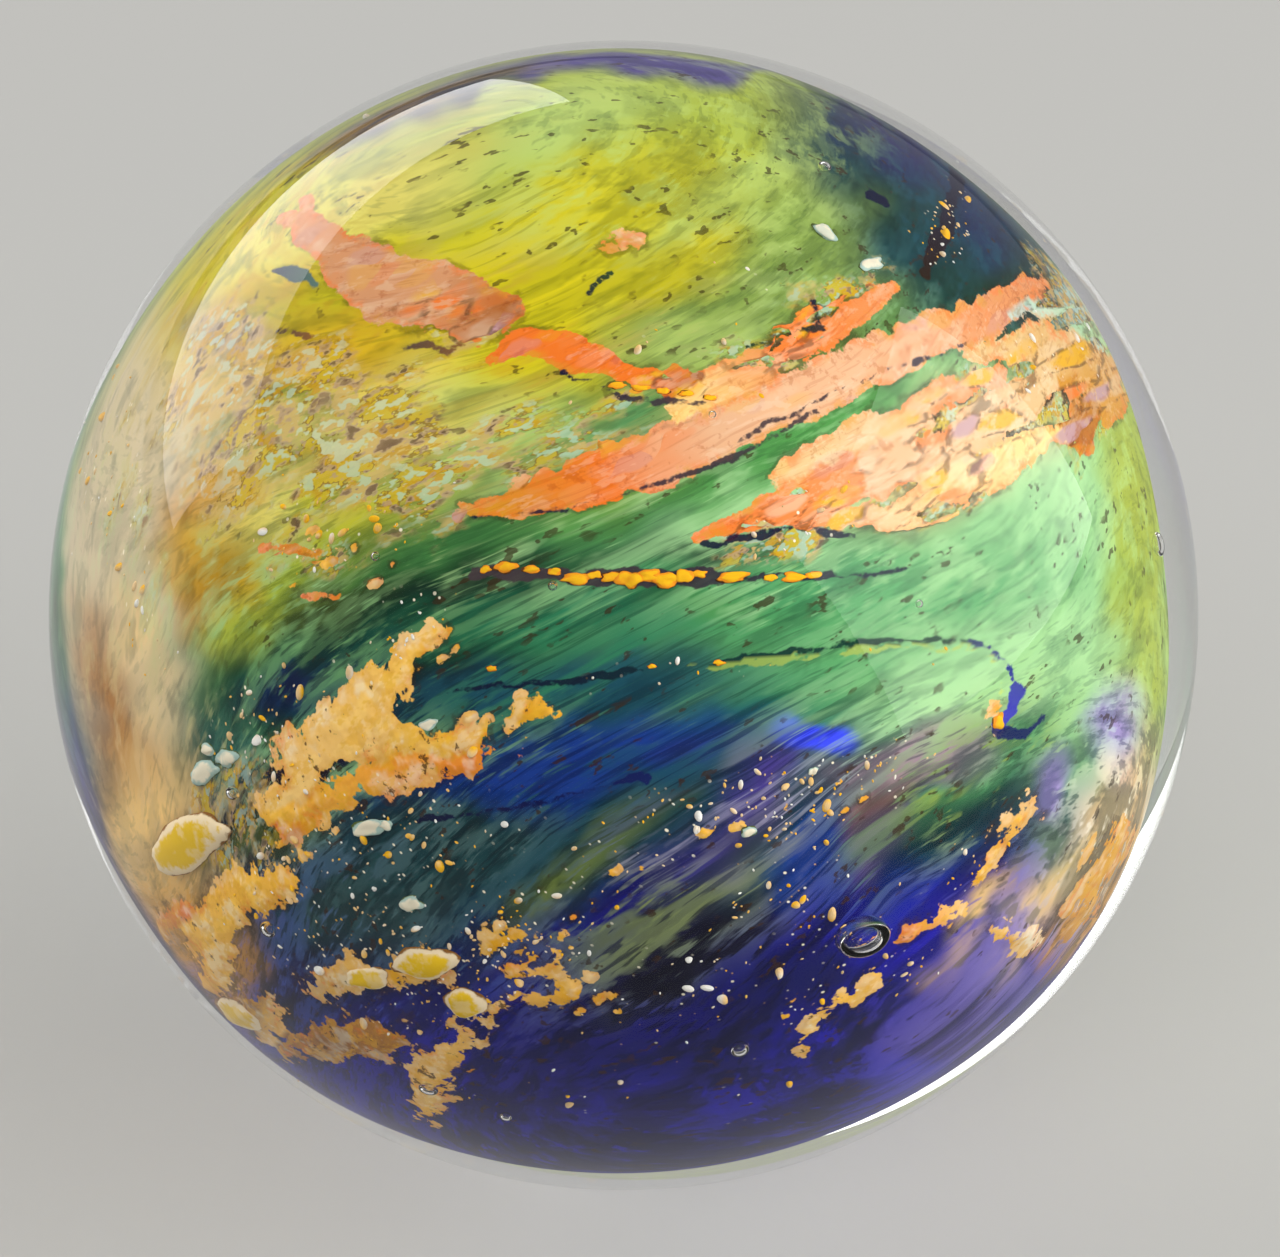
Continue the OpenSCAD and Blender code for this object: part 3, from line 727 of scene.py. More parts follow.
def turned_ways(turn):
    """The ways along and across something that is turned by this many degrees."""
    angle = math.radians(turn)
    return np.array([math.cos(angle), math.sin(angle)]), np.array([-math.sin(angle), math.cos(angle)])


run_ahead, run_aside = turned_ways(RIBBON_TURN)
ribbon_run = np.stack([seen @ run_ahead, seen @ run_aside, 0 * seen_right], axis=1) * CORE_RADIUS * 1000


# %% Make the core's mesh
def show(name, mesh, smooth_shaded=True):
    """Makes a piece of a mesh, finished or still being built, and puts it in the scene."""
    if isinstance(mesh, bmesh.types.BMesh):
        data = bpy.data.meshes.new(name)
        mesh.to_mesh(data)
        mesh.free()
        mesh = data
    if smooth_shaded:
        mesh.polygons.foreach_set("use_smooth", np.ones(len(mesh.polygons), dtype=bool))
    piece = bpy.data.objects.new(name, mesh)
    bpy.context.collection.objects.link(piece)
    return piece


def store(piece, name, values):
    """Keeps one number or one triple for each point of a piece."""
    values = np.asarray(values, dtype=np.float32)
    kind = "FLOAT" if values.ndim == 1 else "FLOAT_VECTOR"
    attribute = piece.data.attributes.new(name, kind, "POINT")
    attribute.data.foreach_set("value" if values.ndim == 1 else "vector", values.ravel())


CRUST_RELIEF = 0.00010
relief = CRUST_RELIEF * cover_layer["crust"] * smooth(cover_layer["cover"], 0.35, 0.75)
core_points = CORE_CENTRE + directions * (core_reach(directions) + relief)[:, None]
core_mesh = bpy.data.meshes.new("swirl_core")
core_mesh.from_pydata(core_points.tolist(), [], core_faces)
core_mesh.validate()
core = show("swirl_core", core_mesh)
core_maps = {
    "ground": ground, "threads": threads, "crust": cover_layer["crust"],
    "ribbon_colour": cover_layer["colour"], "ribbon": cover_layer["cover"],
    "vein_colour": vein_layer["colour"], "vein": vein_layer["cover"], "lace": LACE, "seeds": SEEDS,
    "flecks": FLECKS, "flow": flow, "run": ribbon_run, "drag": DRAG_STRENGTH}
for name, values in core_maps.items():
    store(core, name, values)
print("core faces", len(core.data.polygons))

# %% [markdown]
# ## Writing a finish as a recipe
# A material is a tree of nodes, but it reads best as sums. A Wire stands for one socket: adding or
# multiplying Wires adds the Math nodes. Everything else comes from one method, add, which takes the kind
# of node, its settings and what goes into its sockets.


# %% Recipes
class Wire:
    """One socket of a recipe. Arithmetic on it makes Math nodes."""

    def __init__(self, recipe, socket):
        self.recipe = recipe
        self.socket = socket

    def math(self, operation, *others, clamp=False):
        sockets = {i: value for i, value in enumerate((self,) + others)}
        return self.recipe.add("Math", {"operation": operation, "use_clamp": clamp}, sockets)

    def __add__(self, other):
        return self.math("ADD", other)

    __radd__ = __add__

    def __mul__(self, other):
        return self.math("MULTIPLY", other)

    __rmul__ = __mul__

    def __sub__(self, other):
        return self.math("SUBTRACT", other)

    def __rsub__(self, other):
        return (self * -1.0) + other

    def beside(self, output):
        """Another output of the same node."""
        return Wire(self.recipe, self.socket.node.outputs[output])

    def step(self, low, high):
        """0 below low, 1 above high, smooth between. high may be the lower one."""
        sockets = {"Value": self, "From Min": low, "From Max": high, "To Min": 0.0, "To Max": 1.0}
        return self.recipe.add("MapRange", {"interpolation_type": "SMOOTHSTEP"}, sockets)


class Recipe:
    """A material being mixed."""

    def __init__(self, name):
        self.material = bpy.data.materials.new(name)
        self.material.use_nodes = True
        self.tree = self.material.node_tree
        self.tree.nodes.clear()

    def add(self, kind, settings=None, sockets=None, output=0):
        """Adds one node. sockets maps a socket's identifier, name or number to a value or a Wire."""
        if not kind.startswith(("GeometryNode", "FunctionNode", "NodeGroup")):
            kind = "ShaderNode" + kind
        node = self.tree.nodes.new(kind)
        for name, value in (settings or {}).items():
            setattr(node, name, value)
        for key, value in (sockets or {}).items():
            self.feed(self.find(node.inputs, key), value)
        return Wire(self, self.find(node.outputs, output))

    def find(self, sockets, key):
        if isinstance(key, int):
            return sockets[key]
        return next((socket for socket in sockets if socket.identifier == key), None) or sockets[key]

    def feed(self, socket, value):
        if isinstance(value, Wire):
            self.tree.links.new(value.socket, socket)
        elif hasattr(socket.default_value, "__len__") and not isinstance(value, str):
            values = [float(part) for part in value]
            socket.default_value = values + [1.0] * (len(socket.default_value) - len(values))
        else:
            socket.default_value = value

    def blend(self, under, over, share, how="MIX"):
        """Mixes two colours."""
        settings = {"data_type": "RGBA", "blend_type": how, "clamp_factor": True}
        sockets = {"Factor_Float": share, "A_Color": under, "B_Color": over}
        return self.add("Mix", settings, sockets, "Result_Color")

    def layers(self, colour, *coats):
        """Lays coats over a colour in turn, each a colour and its share."""
        for over, share in coats:
            colour = self.blend(colour, over, share)
        return colour

    def stretch(self, places, scale, shift=(0, 0, 0)):
        """Places scaled by three factors and moved."""
        sockets = {0: places, 1: scale, 2: shift}
        return self.add("VectorMath", {"operation": "MULTIPLY_ADD"}, sockets)

    def bent(self, places, scale, amount):
        """Places pushed about by a soft noise."""
        push = self.add("TexNoise", {}, {"Vector": places, "Scale": scale, "Detail": 2.0}, "Color")
        return self.add("VectorMath", {"operation": "MULTIPLY_ADD"}, {0: push, 1: amount, 2: places})

    def noise(self, places, scale, detail=3.0, roughness=0.55):
        sockets = {"Vector": places, "Scale": scale, "Detail": detail, "Roughness": roughness}
        return self.add("TexNoise", {}, sockets)

    def cells(self, places, scale, feature="F1"):
        """Crumbs of all shapes, as the distance from their middles or, by another feature, their edges."""
        sockets = {"Vector": places, "Scale": scale, "Randomness": 1.0}
        return self.add("TexVoronoi", {"feature": feature}, sockets, "Distance")

    def cell_number(self, cells):
        """A number from 0 to 1 for each crumb, the same all over it."""
        return self.add("SeparateColor", {}, {"Color": cells.beside("Color")}, "Red")

    def stored(self, name, output="Fac"):
        return self.add("Attribute", {"attribute_name": name}, {}, output)

    def finish(self, surface):
        end = self.tree.nodes.new("ShaderNodeOutputMaterial")
        self.feed(end.inputs["Surface"], surface)
        return self.material

    def finish_opaque(self, colour, roughness, gloss=0.0, **more):
        sockets = {"Base Color": colour, "Roughness": roughness, "Specular IOR Level": gloss, **more}
        return self.finish(self.add("BsdfPrincipled", {}, sockets))


# %% [markdown]
# ## The swirl glass
# Opaque streaked glass is never one colour: fine threads of lighter and darker glass run along the drag,
# specks of undissolved metal sit in it, and crushed colour melts into pale cells. The recipe starts from
# the ground, adds the threads, then the lace, then a soft dark band of painted shadow round the ribbons
# and crusts, then the ribbons, and last the veins and the finest seeds. Its noises are drawn out along the
# drag by three factors, or left even.
# Inside clear glass of the same kind the core has no shine of its own, so its gloss is off.


# %% Patterns in the swirl glass
DRAWN_NOISES = {
    "threads": ((0.06, 1.9, 0.45), (0, 0, 0), 4.0, 0.62), "hairs": ((0.25, 8.0, 1.2), (0, 0, 0), 2.0, 0.6),
    "patches": ((0.40, 1.2, 0.8), (7, 3, 1), 3.0, 0.6), "motes": ((1.1, 2.8, 1.6), (3, 9, 2), 3.0, 0.65),
    "flakes": ((1.7, 3.4, 2.2), (11, 5, 8), 2.0, 0.6), "clouds": ((0.55, 1.3, 0.9), (4, 4, 4), 4.0, 0.65),
    "bars": ((0.05, 1.1, 0.3), (2, 8, 4), 2.0, 0.5)}
EVEN_NOISES = {"grain": (7.0, 1.0, 0.6), "lumps": (2.4, 3.0, 0.7), "bays": (0.9, 3.0, 0.62)}


def swirl_patterns(mix):
    """The core's stored maps and all the noises made from them, each under its name."""
    p = types.SimpleNamespace(flow=mix.stored("flow", "Vector"))
    p.thread_colour = mix.stored("threads", "Color")
    for name in ("ground", "ribbon_colour", "vein_colour"):
        setattr(p, name, mix.stored(name, "Color"))
    for name in ("crust", "ribbon", "vein", "lace", "drag", "seeds", "flecks"):
        setattr(p, name, mix.stored(name))
    curled = mix.bent(p.flow, 0.14, (0.7, 0.7, 0.7))
    for name, (factors, shift, detail, roughness) in DRAWN_NOISES.items():
        setattr(p, name, mix.noise(mix.stretch(curled, factors, shift), 1.0, detail, roughness))
    for name, (scale, detail, roughness) in EVEN_NOISES.items():
        setattr(p, name, mix.noise(p.flow, scale, detail, roughness))
    p.here = (p.lace + (p.patches - 0.5) * 1.6).step(0.40, 0.75)

    crumbled = mix.bent(mix.stored("run", "Vector"), 1.3, (0.8, 0.4, 0.0))
    clump_places = mix.stretch(crumbled, (0.75, 1.9, 1.0))
    p.clump = mix.cells(clump_places, 1.35)
    p.clump_number = mix.cell_number(p.clump)
    # The seams are the dark lines between the ribbons' clumps: partly their own dark joints, partly painted
    # shade of the clumps' relief.
    p.seam = mix.cells(clump_places, 1.35, "DISTANCE_TO_EDGE").step(0.12, 0.03)
    knob = mix.cells(mix.stretch(crumbled, (1.0, 1.5, 1.2), (5, 5, 5)), 2.4)
    p.nub_number = mix.cell_number(knob)
    p.nub = knob + (p.grain - 0.5) * 0.3
    return p


# %% Mix the swirl glass
def streaked_ground(mix, p):
    """The ground with its patches, threads, bars and hairs."""
    darker = mix.blend(p.ground, (0.36, 0.42, 0.46), 1.0, "MULTIPLY")
    lighter = mix.blend(p.ground, p.thread_colour, 0.65)
    return mix.layers(
        p.ground,
        (lighter, p.patches.step(0.50, 0.64) * 0.8),
        (darker, p.patches.step(0.44, 0.32) * 0.5),
        (darker, p.threads.step(0.49, 0.41) * p.drag * 0.9),
        (lighter, p.threads.step(0.53, 0.60) * p.drag * 0.9),
        (darker, p.bars.step(0.46, 0.41) * p.drag * 0.7),
        (p.thread_colour, p.bars.step(0.55, 0.60) * p.drag * 0.55),
        (darker, p.hairs.step(0.45, 0.36) * (p.drag * 0.6 + 0.15)),
        (p.thread_colour, p.hairs.step(0.57, 0.66) * p.patches.step(0.42, 0.55) * p.drag * 0.8))


def melted_lace(mix, p, colour):
    """Straw and honey cells with brown seams where crushed glass has melted, and dark flecks."""
    seams = p.clouds.step(0.438, 0.452) * p.clouds.step(0.482, 0.466)
    flecks = (p.flakes + (p.threads - 0.5) * 0.5).step(0.37, 0.32)
    return mix.layers(
        colour,
        (STRAW, p.clouds.step(0.52, 0.56) * p.here * 0.75),
        (HONEY, p.clouds.step(0.47, 0.45) * p.here * 0.75),
        (BROWN * 0.7, seams * p.here * 0.6),
        (GOLDEN, p.motes.step(0.44, 0.39) * p.here * 0.75),
        (mix.blend(p.ground, AQUA, 0.55), p.flakes.step(0.55, 0.60) * p.here * 0.85),
        (mix.blend(MAUVE, STRAW, 0.4), p.flakes.step(0.44, 0.40) * p.here * 0.6),
        (BROWN * 0.5, p.flakes.step(0.38, 0.33) * p.here * 0.4),
        (BROWN * 0.16, flecks * p.patches.step(0.40, 0.56) * p.flecks))


def ribbon_edge(p):
    """The slope through the ribbons' edges, roughened, with crumbs in the lace and bites in the crusts."""
    beside = p.ribbon.step(0.02, 0.25)
    rough = (p.patches - 0.5) * 0.4 + (p.clump_number - 0.5) * 0.16 + (p.lumps - 0.5) * 0.45
    crumbs = (p.clump_number - 0.48) * p.here * (1.0 - p.crust) * 0.95 - (p.grain - 0.5) * 0.2
    bites = (p.bays - 0.5) * 1.6 + (p.lumps - 0.5) * 0.2 + (p.nub_number - 0.5) * 0.12
    edge = p.ribbon + rough * (p.here * 0.75 + 0.25) * beside
    return edge + crumbs * beside + bites * p.crust * beside


def ribbon_face(mix, p, edge):
    """The ribbons' glass, in clumps of several tones, and on the crusts their nubs."""
    near_edge = edge.step(0.90, 0.55)
    pale = mix.blend(p.ribbon_colour, CREAM, 0.30)
    dark = mix.blend(p.ribbon_colour, (0.70, 0.44, 0.28), 1.0, "MULTIPLY")
    tone = mix.layers(
        p.ribbon_colour,
        (mix.blend(SALMON, ORANGE, p.patches.step(0.44, 0.56)), p.clump_number.step(0.32, 0.26)),
        (pale, p.clump_number.step(0.48, 0.54)),
        (GOLD * 0.9, p.clump_number.step(0.70, 0.74)),
        (mix.blend(LAVENDER * 0.8, PINK, 0.5), p.clump_number.step(0.86, 0.90)))
    face = mix.layers(
        p.ribbon_colour,
        (pale, p.threads.step(0.50, 0.64) * 0.6),
        (dark, p.lumps.step(0.44, 0.34) * 0.5),
        (tone, p.clump.step(0.62, 0.40) * (p.here * 0.65 + 0.25)),
        (pale, p.motes.step(0.55, 0.63) * 0.5),
        (mix.blend(ORANGE, AMBER, p.patches.step(0.46, 0.56)),
         near_edge * p.lumps.step(0.42, 0.56) * (0.6 - p.here * 0.35)),
        (dark, p.hairs.step(0.44, 0.36) * 0.28),
        # Dark seams between the clumps, partly painted shade of their relief.
        (mix.blend(dark, BROWN * 0.3, p.motes.step(0.54, 0.46)),
         p.seam * p.here * p.motes.step(0.58, 0.48) * 0.6))
    nubs = mix.layers(
        p.ribbon_colour,
        (CREAM, p.bays.step(0.50, 0.62) * 0.45),
        (GOLD, p.motes.step(0.50, 0.42) * 0.5),
        (AMBER, near_edge * 0.3),
        (mix.blend(ORANGE, AMBER, p.lumps.step(0.46, 0.54)), near_edge * p.patches.step(0.50, 0.40) * 0.5),
        (dark, p.nub.step(0.42, 0.62) * 0.18),
        (BROWN * 0.35, (p.lumps + (p.nub_number - 0.5) * 0.1).step(0.38, 0.31) * 0.85))
    return mix.blend(face, nubs, p.crust)


def swirl_glass():
    mix = Recipe("swirl_glass")
    p = swirl_patterns(mix)
    edge = ribbon_edge(p)
    # rim is a painted shadow: a soft, patchy dark band laid just outside the ribbons' and crusts' edges.
    rim = edge.step(0.26, 0.40) * p.patches.step(0.52, 0.42) * (p.here * 0.5 + 0.5)
    line = p.vein + (p.patches - 0.5) * 1.0 + (p.grain - 0.5) * 0.2 + (p.hairs - 0.5) * 0.15
    dots = mix.cells(p.flow, 3.2)
    dot_number = mix.cell_number(dots)
    seeded = (p.seeds + (p.patches - 0.5) * 1.2).step(0.30, 0.70)
    sparks = (dots + dot_number * 0.12).step(0.20, 0.12) * seeded
    colour = mix.layers(
        melted_lace(mix, p, streaked_ground(mix, p)),
        (BROWN * 0.14, rim * 0.9),
        (ribbon_face(mix, p, edge), edge.step(0.46, 0.52)),
        (p.vein_colour, line.step(0.42, 0.54) * 0.95),
        (mix.blend(CREAM, GOLD, dot_number.step(0.4, 0.6)), sparks * 0.95))
    height = p.ribbon * (mix.noise(p.flow, 3.2, 0.0) * p.crust + 0.3)
    raised = mix.add("Bump", {}, {"Strength": 0.4, "Distance": 0.0002, "Height": height})
    return mix.finish_opaque(colour, 0.6, Normal=raised)


core.data.materials.append(swirl_glass())
print("swirl glass nodes", len(core.data.materials[0].node_tree.nodes))

# %% [markdown]
# ## The clear glass
# The casing is one ball of clear glass with a polished skin. Its few bubbles are holes in it, so they are
# built as small inner shells whose faces look into the hole. Light has to reach the core, and a renderer's
# lamps can't be traced back through a lens, so shadow rays are let straight through. A bubble has its
# place in shares of the ball's radius, and its half-width and half-height in millimetres.

# %% Clear glass with its bubbles
BALL_LEVELS = 7
BUBBLE_LEVELS = 4


def round_shell(mesh, centre, radii, levels, inward=False):
    """Adds one closed ball or egg to a mesh."""
    place = Matrix.Translation(Vector(centre)) @ Matrix.Diagonal(Vector((*radii, 1.0)))
    made = bmesh.ops.create_icosphere(mesh, subdivisions=levels, radius=1.0, matrix=place)
    if inward:
        faces = list({face for vertex in made["verts"] for face in vertex.link_faces})
        bmesh.ops.reverse_faces(mesh, faces=faces)


def direction_seen(place):
    return sight_to_core(np.array([place]))[0]


BUBBLES = [(0.39, -0.525, 0.80, 0.60), (0.195, -0.73, 0.26, 0.26), (-0.33, -0.80, 0.26, 0.20),
           (0.90, 0.12, 0.24, 0.32), (-0.60, -0.53, 0.24, 0.24), (0.34, 0.76, 0.18, 0.18),
           (-0.12, 0.05, 0.14, 0.14), (-0.42, 0.10, 0.14, 0.14), (0.15, 0.34, 0.12, 0.12),
           (-0.66, -0.30, 0.22, 0.18), (0.50, 0.02, 0.12, 0.12), (-0.20, -0.85, 0.16, 0.16)]


def clear_ball():
    mesh = bmesh.new()
    round_shell(mesh, BALL_CENTRE, (BALL_RADIUS,) * 3, BALL_LEVELS)
    for x, y, wide, high in BUBBLES:
        reach = CORE_RADIUS * (1 + 2.2 * CORE_SWELL) + max(wide, high) / 1000
        middle = CORE_CENTRE + direction_seen((x, y)) * reach
        round_shell(mesh, middle, (wide / 1000, wide / 1000, high / 1000), BUBBLE_LEVELS, inward=True)
    return show("glass_ball", mesh)


SHINE = 0.4


def clear_glass():
    mix = Recipe("clear_glass")
    glass = mix.add("BsdfPrincipled", {}, {
        "Base Color": (1, 1, 1), "Roughness": 0.0, "IOR": GLASS_IOR, "Transmission Weight": 1.0,
        "Specular Tint": (SHINE, SHINE, SHINE)})
    open_way = mix.add("BsdfTransparent", {}, {"Color": (1, 1, 1)})
    in_shadow = mix.add("LightPath", {}, {}, "Is Shadow Ray")
    return mix.finish(mix.add("MixShader", {}, {0: in_shadow, 1: glass, 2: open_way}))


ball = clear_ball()
ball.data.materials.append(clear_glass())
print("ball faces", len(ball.data.polygons), "bubbles", len(BUBBLES))

# %% [markdown]
# ## Beads
# Larger drops of gold and cream glass sit on the core: a row of gold drops across the front, ringed cream
# ones low on the left. Each is a low dome half sunk in the skin, turned to lie along the drag. A drop is
# sized by how it should be seen, and the sight lines give its real size. Its place, half-length and
# half-height are in thousandths of the ball's radius, and its turn is in degrees.

# %% Lay the beads
BEAD_RISE = 0.55
GOLD_TURN = 3
GOLD_ROW = [
    (-240, 80, 10, 6), (-205, 84, 24, 10), (-160, 80, 18, 7), (-120, 76, 12, 7), (-82, 64, 26, 10),
    (-50, 70, 14, 7), (-18, 68, 22, 10), (12, 63, 24, 14), (44, 69, 22, 12), (75, 62, 26, 14),
    (105, 68, 18, 12), (130, 72, 14, 7), (190, 67, 26, 9), (255, 66, 12, 6), (300, 67, 24, 8),
    (335, 70, 14, 6), (-230, -92, 9, 5), (50, -88, 8, 4), (165, -82, 10, 5), (-10, 400, 14, 6),
    (30, 395, 14, 6), (70, 390, 12, 6), (110, 385, 14, 6), (150, 378, 12, 5), (655, -185, 10, 14)]
CREAM_DROPS = [
    (-735, -275, 26, 18, 20), (-695, -250, 22, 16, 10), (-730, -235, 14, 11, 0), (-445, -370, 28, 16, 15),
    (-415, -365, 12, 9, 0), (-370, -503, 20, 14, 10), (218, -375, 14, 10, 5), (330, -270, 9, 6, 30),
    (-460, -180, 10, 8, 40), (-340, -190, 18, 10, 20), (350, 665, 24, 10, -40), (430, 610, 20, 12, 20)]
RINGED_DROPS = [
    (-755, -395, 72, 42, 25), (-345, -605, 60, 28, 8), (-665, -690, 30, 26, 0), (-275, -672, 26, 34, 40),
    (-445, -628, 36, 20, 10)]


def add_bead(mesh, rims, rough, x, y, half_length, half_height, turn):
    """One low dome, half sunk in the core, as long and high as it should be seen."""
    place = np.array([x, y]) / 1000
    ahead, aside = turned_ways(turn)
    way = direction_seen(place)
    reach = float(core_reach(way[None, :])[0])
    along = (direction_seen(place + ahead * (half_length / 1000)) - way) * CORE_RADIUS
    across = (direction_seen(place + aside * (half_height / 1000)) - way) * CORE_RADIUS
    across -= along * (across @ along) / (along @ along)
    up = way * np.linalg.norm(across) * BEAD_RISE
    columns = np.stack([along, across, up], axis=1)
    if np.linalg.det(columns) < 0:
        columns[:, 1] *= -1
    made = bmesh.ops.create_icosphere(mesh, subdivisions=3, radius=1.0)
    dome = np.array([vertex.co[:] for vertex in made["verts"]])
    # rim runs from 0 at the dome's top to 1 at its base; the drops are painted by it, darker at the base.
    rims.extend(1 - np.maximum(dome[:, 2], 0))
    dome = dome * (1 + rough * ripples(dome, 1.3, len(rims)))[:, None]
    for vertex, point in zip(made["verts"], CORE_CENTRE + way * reach + dome @ columns.T):
        vertex.co = Vector(point)


def bead_piece(name, beads, rough, material):
    mesh = bmesh.new()
    rims = []
    for bead in beads:
        add_bead(mesh, rims, rough, *bead)
    piece = show(name, mesh)
    piece.data.materials.append(material)
    store(piece, "rim", rims)
    return piece


def drop_glass(name, middle, ring, edge):
    """Opaque glass in rings from a dome's top down to its base: its middle, a ring round it and its edge."""
    mix = Recipe(name)
    place = mix.add("TexCoord", {}, {}, "Object")
    rim = mix.stored("rim") + (mix.noise(place, 3500.0, 4.0) - 0.5) * 0.8
    mottle = mix.noise(place, 1800.0, 3.0).step(0.52, 0.64) * 0.4
    colour = mix.layers(middle, (ring, mottle), (ring, rim.step(0.26, 0.50)), (edge, rim.step(0.70, 0.92)))
    return mix.finish_opaque(colour, 0.5)


# On the gold drops the yellow middle on each dome's top is a painted highlight over their orange-gold ring.
gold_glass = drop_glass("gold_drop", GOLD, mix_paint(GOLD, ORANGE, 0.6), BROWN * 0.4)
cream_glass = drop_glass("cream_drop", CREAM * 0.85, AQUA * 0.8, OLIVE_DARK)
ringed_glass = drop_glass(
    "ringed_drop", mix_paint(GOLD, LIME_YELLOW, 0.4), mix_paint(PEACH, CREAM), AMBER_BROWN * 0.6)
gold_beads = bead_piece("gold_beads", [(*bead, GOLD_TURN) for bead in GOLD_ROW], 0.28, gold_glass)
cream_beads = bead_piece("cream_beads", CREAM_DROPS, 0.22, cream_glass)
ringed_beads = bead_piece("ringed_beads", RINGED_DROPS, 0.16, ringed_glass)
print("beads", len(GOLD_ROW) + len(CREAM_DROPS) + len(RINGED_DROPS))

# %% [markdown]
# ## Seeds
# Seeds are pinpricks of gold and air caught on the core. They follow a rule, so Geometry Nodes scatter
# them: points spread over the core as thickly as the seeds map says, and each takes a small bead of a
# few dozen faces, in one of many sizes.

# %% Scatter seeds with Geometry Nodes
SEED_SETTINGS = {"Density": 9.0e6, "Least": 0.000034, "Most": 0.00017}


class GrowRecipe(Recipe):
    """A Geometry Nodes tree, written like a finish. It asks for geometry and for some numbers."""

    def __init__(self, name, numbers):
        self.tree = bpy.data.node_groups.new(name, "GeometryNodeTree")
        sockets = self.tree.interface
        sockets.new_socket("Geometry", in_out="INPUT", socket_type="NodeSocketGeometry")
        for number in numbers:
            sockets.new_socket(number, in_out="INPUT", socket_type="NodeSocketFloat")
        sockets.new_socket("Geometry", in_out="OUTPUT", socket_type="NodeSocketGeometry")

    def finish(self, geometry):
        end = self.tree.nodes.new("NodeGroupOutput")
        self.feed(end.inputs["Geometry"], geometry)
        return self.tree


def seed_tree(material):
    grow = GrowRecipe("seed_scatter", SEED_SETTINGS)
    skin = grow.add("NodeGroupInput", {}, {}, "Geometry")
    thickness = grow.add("GeometryNodeInputNamedAttribute", {"data_type": "FLOAT"}, {"Name": "seeds"},
                         "Attribute")
    points = grow.add("GeometryNodeDistributePointsOnFaces", {}, {
        "Mesh": skin, "Density": thickness.math("POWER", 3.0) * skin.beside("Density"), "Seed": 7}, "Points")
    bead = grow.add("GeometryNodeMeshIcoSphere", {}, {"Radius": 1.0, "Subdivisions": 2}, "Mesh")
    skew = grow.add("FunctionNodeRandomValue", {}, {"Seed": 3}, 1).math("POWER", 7.0)
    size = grow.add("MapRange", {}, {
        "Value": skew, "To Min": skin.beside("Least"), "To Max": skin.beside("Most")})
    shape = grow.add("VectorMath", {"operation": "SCALE"}, {0: (1.5, 0.9, 0.7), "Scale": size})
    turn = grow.add("FunctionNodeRandomValue", {"data_type": "FLOAT_VECTOR"}, {
        "Max": (6.28, 6.28, 6.28), "Seed": 5}, "Value")
    seeds = grow.add("GeometryNodeInstanceOnPoints", {}, {
        "Points": points, "Instance": bead, "Scale": shape, "Rotation": turn}, "Instances")
    seeds = grow.add("GeometryNodeRealizeInstances", {}, {"Geometry": seeds}, "Geometry")
    seeds = grow.add("GeometryNodeSetMaterial", {}, {"Geometry": seeds, "Material": material}, "Geometry")
    return grow.finish(seeds)


def seed_gold():
    mix = Recipe("seed_gold")
    tone = mix.noise(mix.add("TexCoord", {}, {}, "Object"), 900.0, 1.0)
    pale = mix.blend(PEACH, WHITE * 0.85, tone.step(0.50, 0.62))
    return mix.finish_opaque(mix.blend(GOLD, pale, tone.step(0.40, 0.50)), 0.4)


def grow_seeds(core):
    carrier = core.copy()
    carrier.data = core.data.copy()
    bpy.context.collection.objects.link(carrier)
    modifier = carrier.modifiers.new("seeds", "NODES")
    modifier.node_group = seed_tree(seed_gold())
    for item in modifier.node_group.interface.items_tree:
        if item.in_out == "INPUT" and item.name in SEED_SETTINGS:
            modifier[item.identifier] = SEED_SETTINGS[item.name]
    made = carrier.evaluated_get(bpy.context.evaluated_depsgraph_get())
    data = bpy.data.meshes.new_from_object(made)
    data.name = "glass_seeds"
    bpy.data.objects.remove(carrier)
    return show("glass_seeds", data, smooth_shaded=False)


seeds = grow_seeds(core)
print("seed faces", len(seeds.data.polygons), "seeds about", len(seeds.data.polygons) // 80)

# %% [markdown]
# ## What stands for what
# The clear ball stands for the imported casing, and the swirl core for all the coloured nodes, which are
# fused into one piece in the real marble.

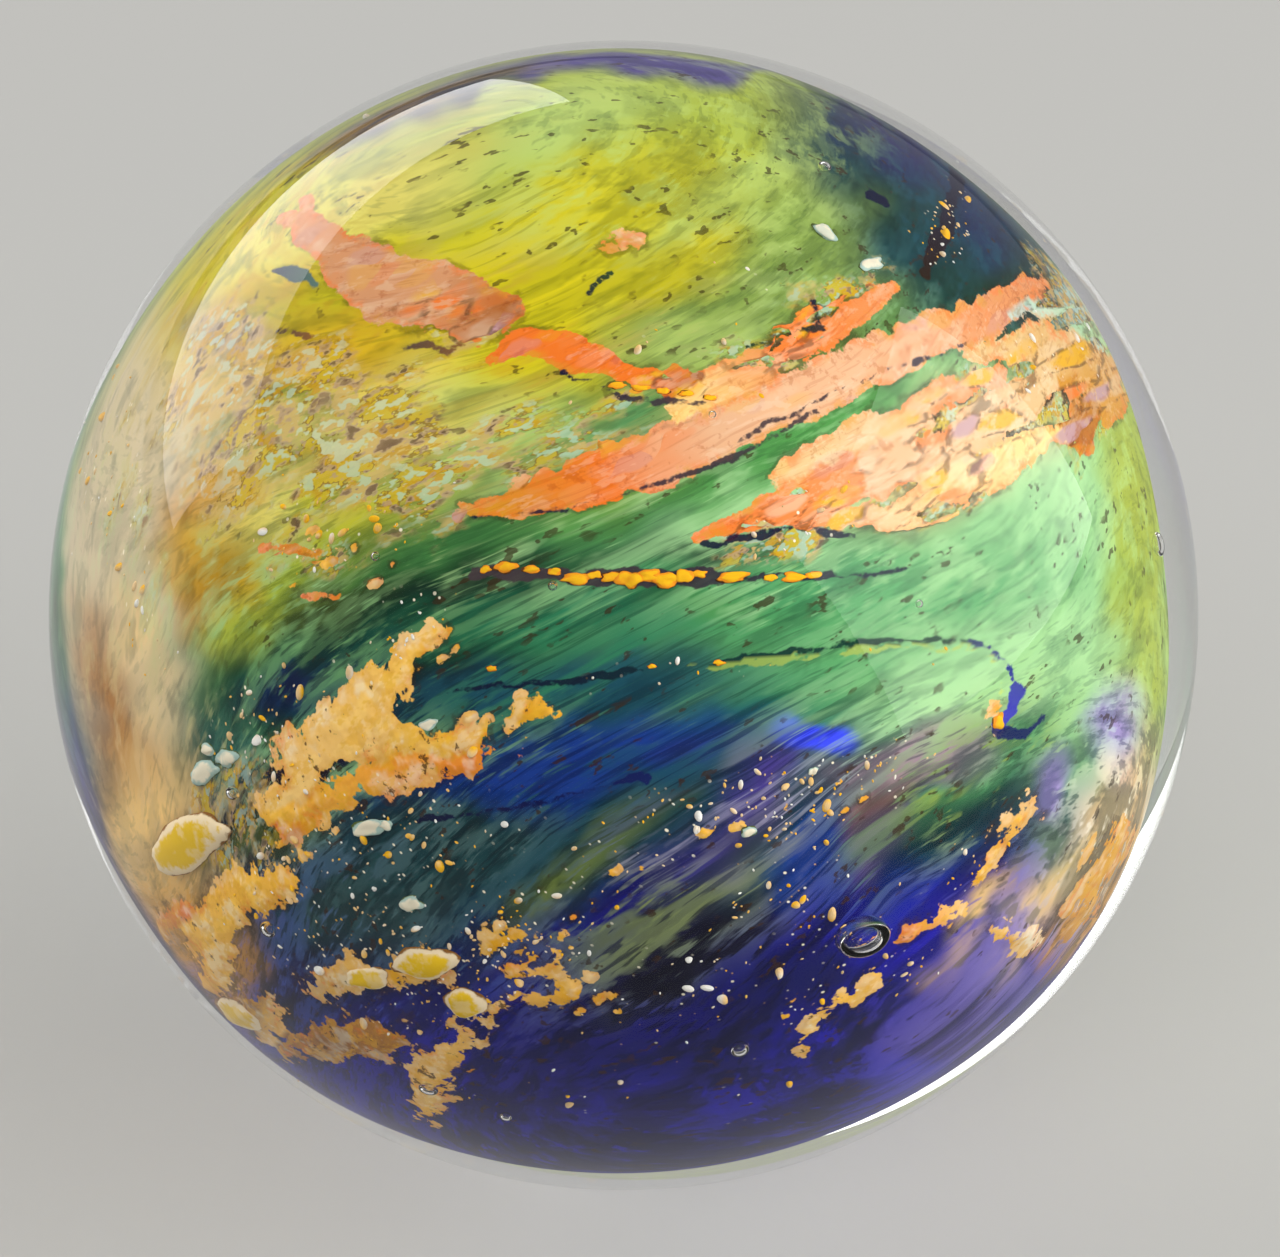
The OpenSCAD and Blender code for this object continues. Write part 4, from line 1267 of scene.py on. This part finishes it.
# %% Tie the pieces to the model
for piece, slot in [(ball, "clear_glass"), (core, "green_glass"), (seeds, "gold_flake"),
                    (gold_beads, "gold_flake"), (cream_beads, "gold_flake"), (ringed_beads, "gold_flake")]:
    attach(piece, "root")
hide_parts("clear_casing")
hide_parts(*COLOURED)

# %% [markdown]
# ## Table, light and room
# A pale table, a wide soft window behind to the left, a soft panel to the right and a small lamp above.
# Clear glass is only as good as what it reflects, and the window and the panel draw its curve. The lamp
# only fills the front with light, so it is kept out of the reflections.

# %% Table
TABLE_ACROSS = 3.0
TABLE_TONE = paint("c2c1bd")


def make_table():
    mesh = bmesh.new()
    level = Matrix.Translation((0, 0, BALL_CENTRE[2] - BALL_RADIUS))
    bmesh.ops.create_grid(mesh, x_segments=1, y_segments=1, size=TABLE_ACROSS / 2, matrix=level)
    table = show("table", mesh, smooth_shaded=False)
    table.data.materials.append(Recipe("table_pale").finish_opaque(TABLE_TONE, 0.8, 0.2))
    return table


table = make_table()


# %% Lamps and room
def soft_panel(name, place, width, height, power):
    """A lamp that is a lit rectangle and looks at the middle of the ball."""
    data = bpy.data.lights.new(name, "AREA")
    data.shape = "RECTANGLE"
    data.size = width
    data.size_y = height
    data.energy = power
    lamp = bpy.data.objects.new(name, data)
    lamp.location = place
    lamp.rotation_euler = (-Vector(place)).to_track_quat("-Z", "Y").to_euler()
    bpy.context.collection.objects.link(lamp)
    return lamp


window = soft_panel("window_left", (-0.36, 0.40, 0.15), 0.75, 0.24, 1.5)
panel = soft_panel("panel_right", (0.42, -0.06, 0.18), 0.55, 0.40, 2.0)
lamp = soft_panel("lamp_above", (-0.15, -0.25, 0.40), 0.30, 0.30, 0.8)
lamp.visible_glossy = False

ROOM_STRENGTH = 0.40
room = bpy.data.worlds.new("room")
room.use_nodes = True
background = room.node_tree.nodes["Background"].inputs
background["Color"].default_value = (1.0, 1.0, 1.0, 1.0)
background["Strength"].default_value = ROOM_STRENGTH
bpy.context.scene.world = room
bpy.context.scene.view_settings.view_transform = "Standard"
